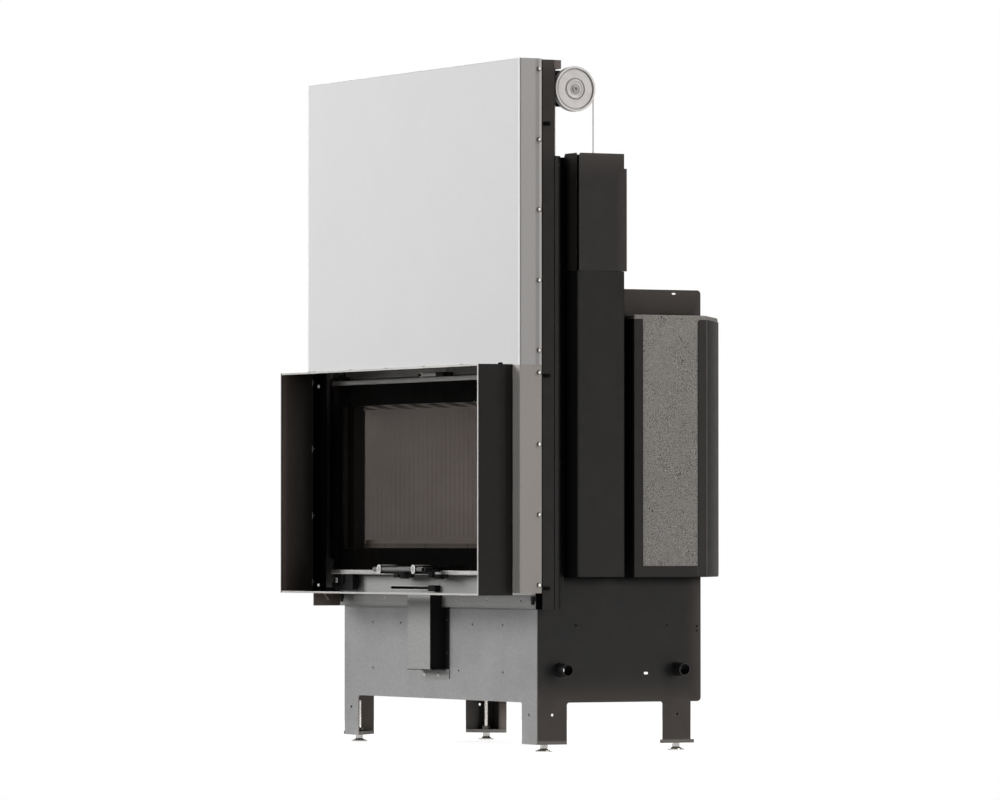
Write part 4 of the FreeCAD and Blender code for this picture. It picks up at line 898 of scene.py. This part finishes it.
# tabs of the rear flanges that show in slots of the surround's side walls
bm = bmesh.new()
for sx in (-1, 1):
    for z in (868, 707, 546, 385):
        xa, xb = sorted((sx * 511.6, sx * 513.25))
        add_box(bm, xa, xb, -5.4, -3.4, z - 8, z + 8, 0.4, 1)
        xa, xb = sorted((sx * 506.5, sx * 508.5))
        add_box(bm, xa, xb, -3.4, -1.9, z - 1.6, z + 1.6, 0.4, 1)
piece("surround_tabs", bm, M_TAB, "chassis")

# rubber tabs at the ends of the strip under the surround
bm = bmesh.new()
for sx in (-1, 1):
    xa, xb = sorted((sx * 483, sx * 501))
    add_box(bm, xa, xb, 63.2, 65.5, 346, 358, 1.0)
    xa, xb = sorted((sx * 486, sx * 498))
    add_box(bm, xa, xb, 62.6, 65.4, 338, 348, 1.4)
piece("strip_tabs", bm, M_BOLT, "chassis")

# rolled lips of the air slot, in a lighter zinc that paints their highlight
bm = bmesh.new()
for z0, z1 in ((368.7, 370.2), (377.0, 378.5)):
    add_box(bm, -232.6, 27.0, 64.6, 65.7, z0, z1, 0.45, 2)
add_box(bm, -232.6, -231.1, 64.6, 65.7, 368.7, 378.5, 0.4, 2)
piece("air_slot_lips", bm, M_LIP, "chassis")

# bright pin of the lower hinge
bm = bmesh.new()
add_lathe(bm, P(-460, 36, 384.0), (0, 0, 1), [(0, 3.42), (0.3, 3.7), (11.7, 3.7), (12.0, 3.42)], 24)
piece("hinge_pin", bm, M_AXLE, "door")

# bent spring clip under the surround at the left
bm = bmesh.new()
add_box(bm, -544.8, -544.0, 24, 46, 357.2, 359.4, 0.3, 1)
path = []
for k in range(7):
    t = k / 6.0
    path.append((P(-544.2 + 2.0 * t, 42 + 12 * t, 358 - 17 * t), Vector((1, 0, 0)), Vector((0, 0.82, 0.57))))
add_tube(bm, path, [(-0.6, -2.2), (0.6, -2.2), (0.6, 2.2), (-0.6, 2.2)])
piece("spring_clip", bm, M_CLIP, "chassis", smooth=False)

# ------------------------------------------------------------ stage and light
fm = Mat("studio_floor")
fn = fm.noise(0.8, 2.0)
fm.put(Base_Color=fm.ramp(fn, (0.3, (0.34, 0.34, 0.338)), (0.7, (0.36, 0.36, 0.358))), Roughness=0.9, Specular_IOR_Level=0.1,
       Emission_Color=(1.0, 1.0, 1.0), Emission_Strength=0.86)
bm = bmesh.new()
bmesh.ops.create_circle(bm, cap_ends=True, radius=2.3, segments=96)
me = bpy.data.meshes.new("floor")
bm.to_mesh(me)
bm.free()
me.materials.append(fm.m)
floor = bpy.data.objects.new("floor", me)
scene.collection.objects.link(floor)
floor.visible_diffuse = False

world = bpy.data.worlds.new("studio")
scene.world = world
world.use_nodes = True
wt = world.node_tree
wt.nodes.clear()
wo = wt.nodes.new("ShaderNodeOutputWorld")
b_cam = wt.nodes.new("ShaderNodeBackground")
b_cam.inputs[0].default_value = (1, 1, 1, 1)
b_cam.inputs[1].default_value = 1.0
b_all = wt.nodes.new("ShaderNodeBackground")
b_all.inputs[0].default_value = (1.0, 0.992, 0.980, 1)
b_all.inputs[1].default_value = 0.05
# a white sweep stands behind the object, the rest of the room is dark
tc = wt.nodes.new("ShaderNodeTexCoord")
dot = wt.nodes.new("ShaderNodeVectorMath")
dot.operation = "DOT_PRODUCT"
dot.inputs[1].default_value = (-0.885, 0.4656, 0.0)
wt.links.new(tc.outputs["Generated"], dot.inputs[0])
sweep = wt.nodes.new("ShaderNodeMapRange")
sweep.inputs["From Min"].default_value = 0.72
sweep.inputs["From Max"].default_value = 0.95
sweep.inputs["To Min"].default_value = 0.035
sweep.inputs["To Max"].default_value = 0.85
wt.links.new(dot.outputs["Value"], sweep.inputs[0])
wt.links.new(sweep.outputs[0], b_all.inputs[1])
lp = wt.nodes.new("ShaderNodeLightPath")
wm = wt.nodes.new("ShaderNodeMixShader")
wt.links.new(lp.outputs["Is Camera Ray"], wm.inputs[0])
wt.links.new(b_all.outputs[0], wm.inputs[1])
wt.links.new(b_cam.outputs[0], wm.inputs[2])
wt.links.new(wm.outputs[0], wo.inputs[0])


def area(name, loc, target, w, h, power, colour=(1, 1, 1)):
    d = bpy.data.lights.new(name, "AREA")
    d.shape = "RECTANGLE"
    d.size, d.size_y = w, h
    d.energy = power
    d.color = colour
    o = bpy.data.objects.new(name, d)
    scene.collection.objects.link(o)
    o.location = loc
    o.rotation_euler = (Vector(target) - Vector(loc)).to_track_quat("-Z", "Y").to_euler()
    return o


def hidden(o):
    o.visible_camera = False
    return o


hidden(area("key", (-3.5, -6.1, 2.6), (0, 0, 0.8), 4.0, 3.0, 490))
hidden(area("front_fill", (4.2, -6.3, 2.2), (0, 0, 0.8), 4.0, 3.0, 150))
hidden(area("side", (4.9, 2.9, 1.5), (0.4, 0.1, 0.9), 2.4, 3.2, 60, (1.0, 0.97, 0.945)))
hidden(area("top_rear", (2.2, 1.6, 4.2), (0.4, 0.1, 1.2), 1.0, 1.0, 44, (1.0, 0.92, 0.87)))
hidden(area("side_top", (4.9, 2.9, 2.9), (0.4, 0.1, 1.2), 2.4, 0.7, 12, (1.0, 0.92, 0.87)))
hidden(area("rear_fill", (-5.6, 3.9, 3.2), (0, 0.2, 0.9), 3.0, 3.0, 150))
hidden(area("low_side", (4.6, 2.6, 0.16), (0.5, 0.0, 0.1), 2.4, 0.3, 11, (1.0, 0.92, 0.86)))
hidden(area("rope_fill", P(0, 58, 812), P(0, 79, 805), 0.78, 0.004, 0.012, (1.0, 0.96, 0.93)))
hidden(area("floor_bounce", (0.0, 0.02, 0.012), (0.0, 0.02, 1.0), 0.86, 0.5, 1.2, (1.0, 0.91, 0.85)))
for sx in (-1, 1):
    hidden(area("firebox_fill_%d" % sx, P(sx * 405, 262, 655), P(-sx * 405, 275, 655), 0.28, 0.30, 1.36, (1.0, 0.985, 0.975)))

scene.view_settings.view_transform = "Standard"
scene.view_settings.look = "None"
scene.view_settings.exposure = 0.0
scene.view_settings.gamma = 1.0
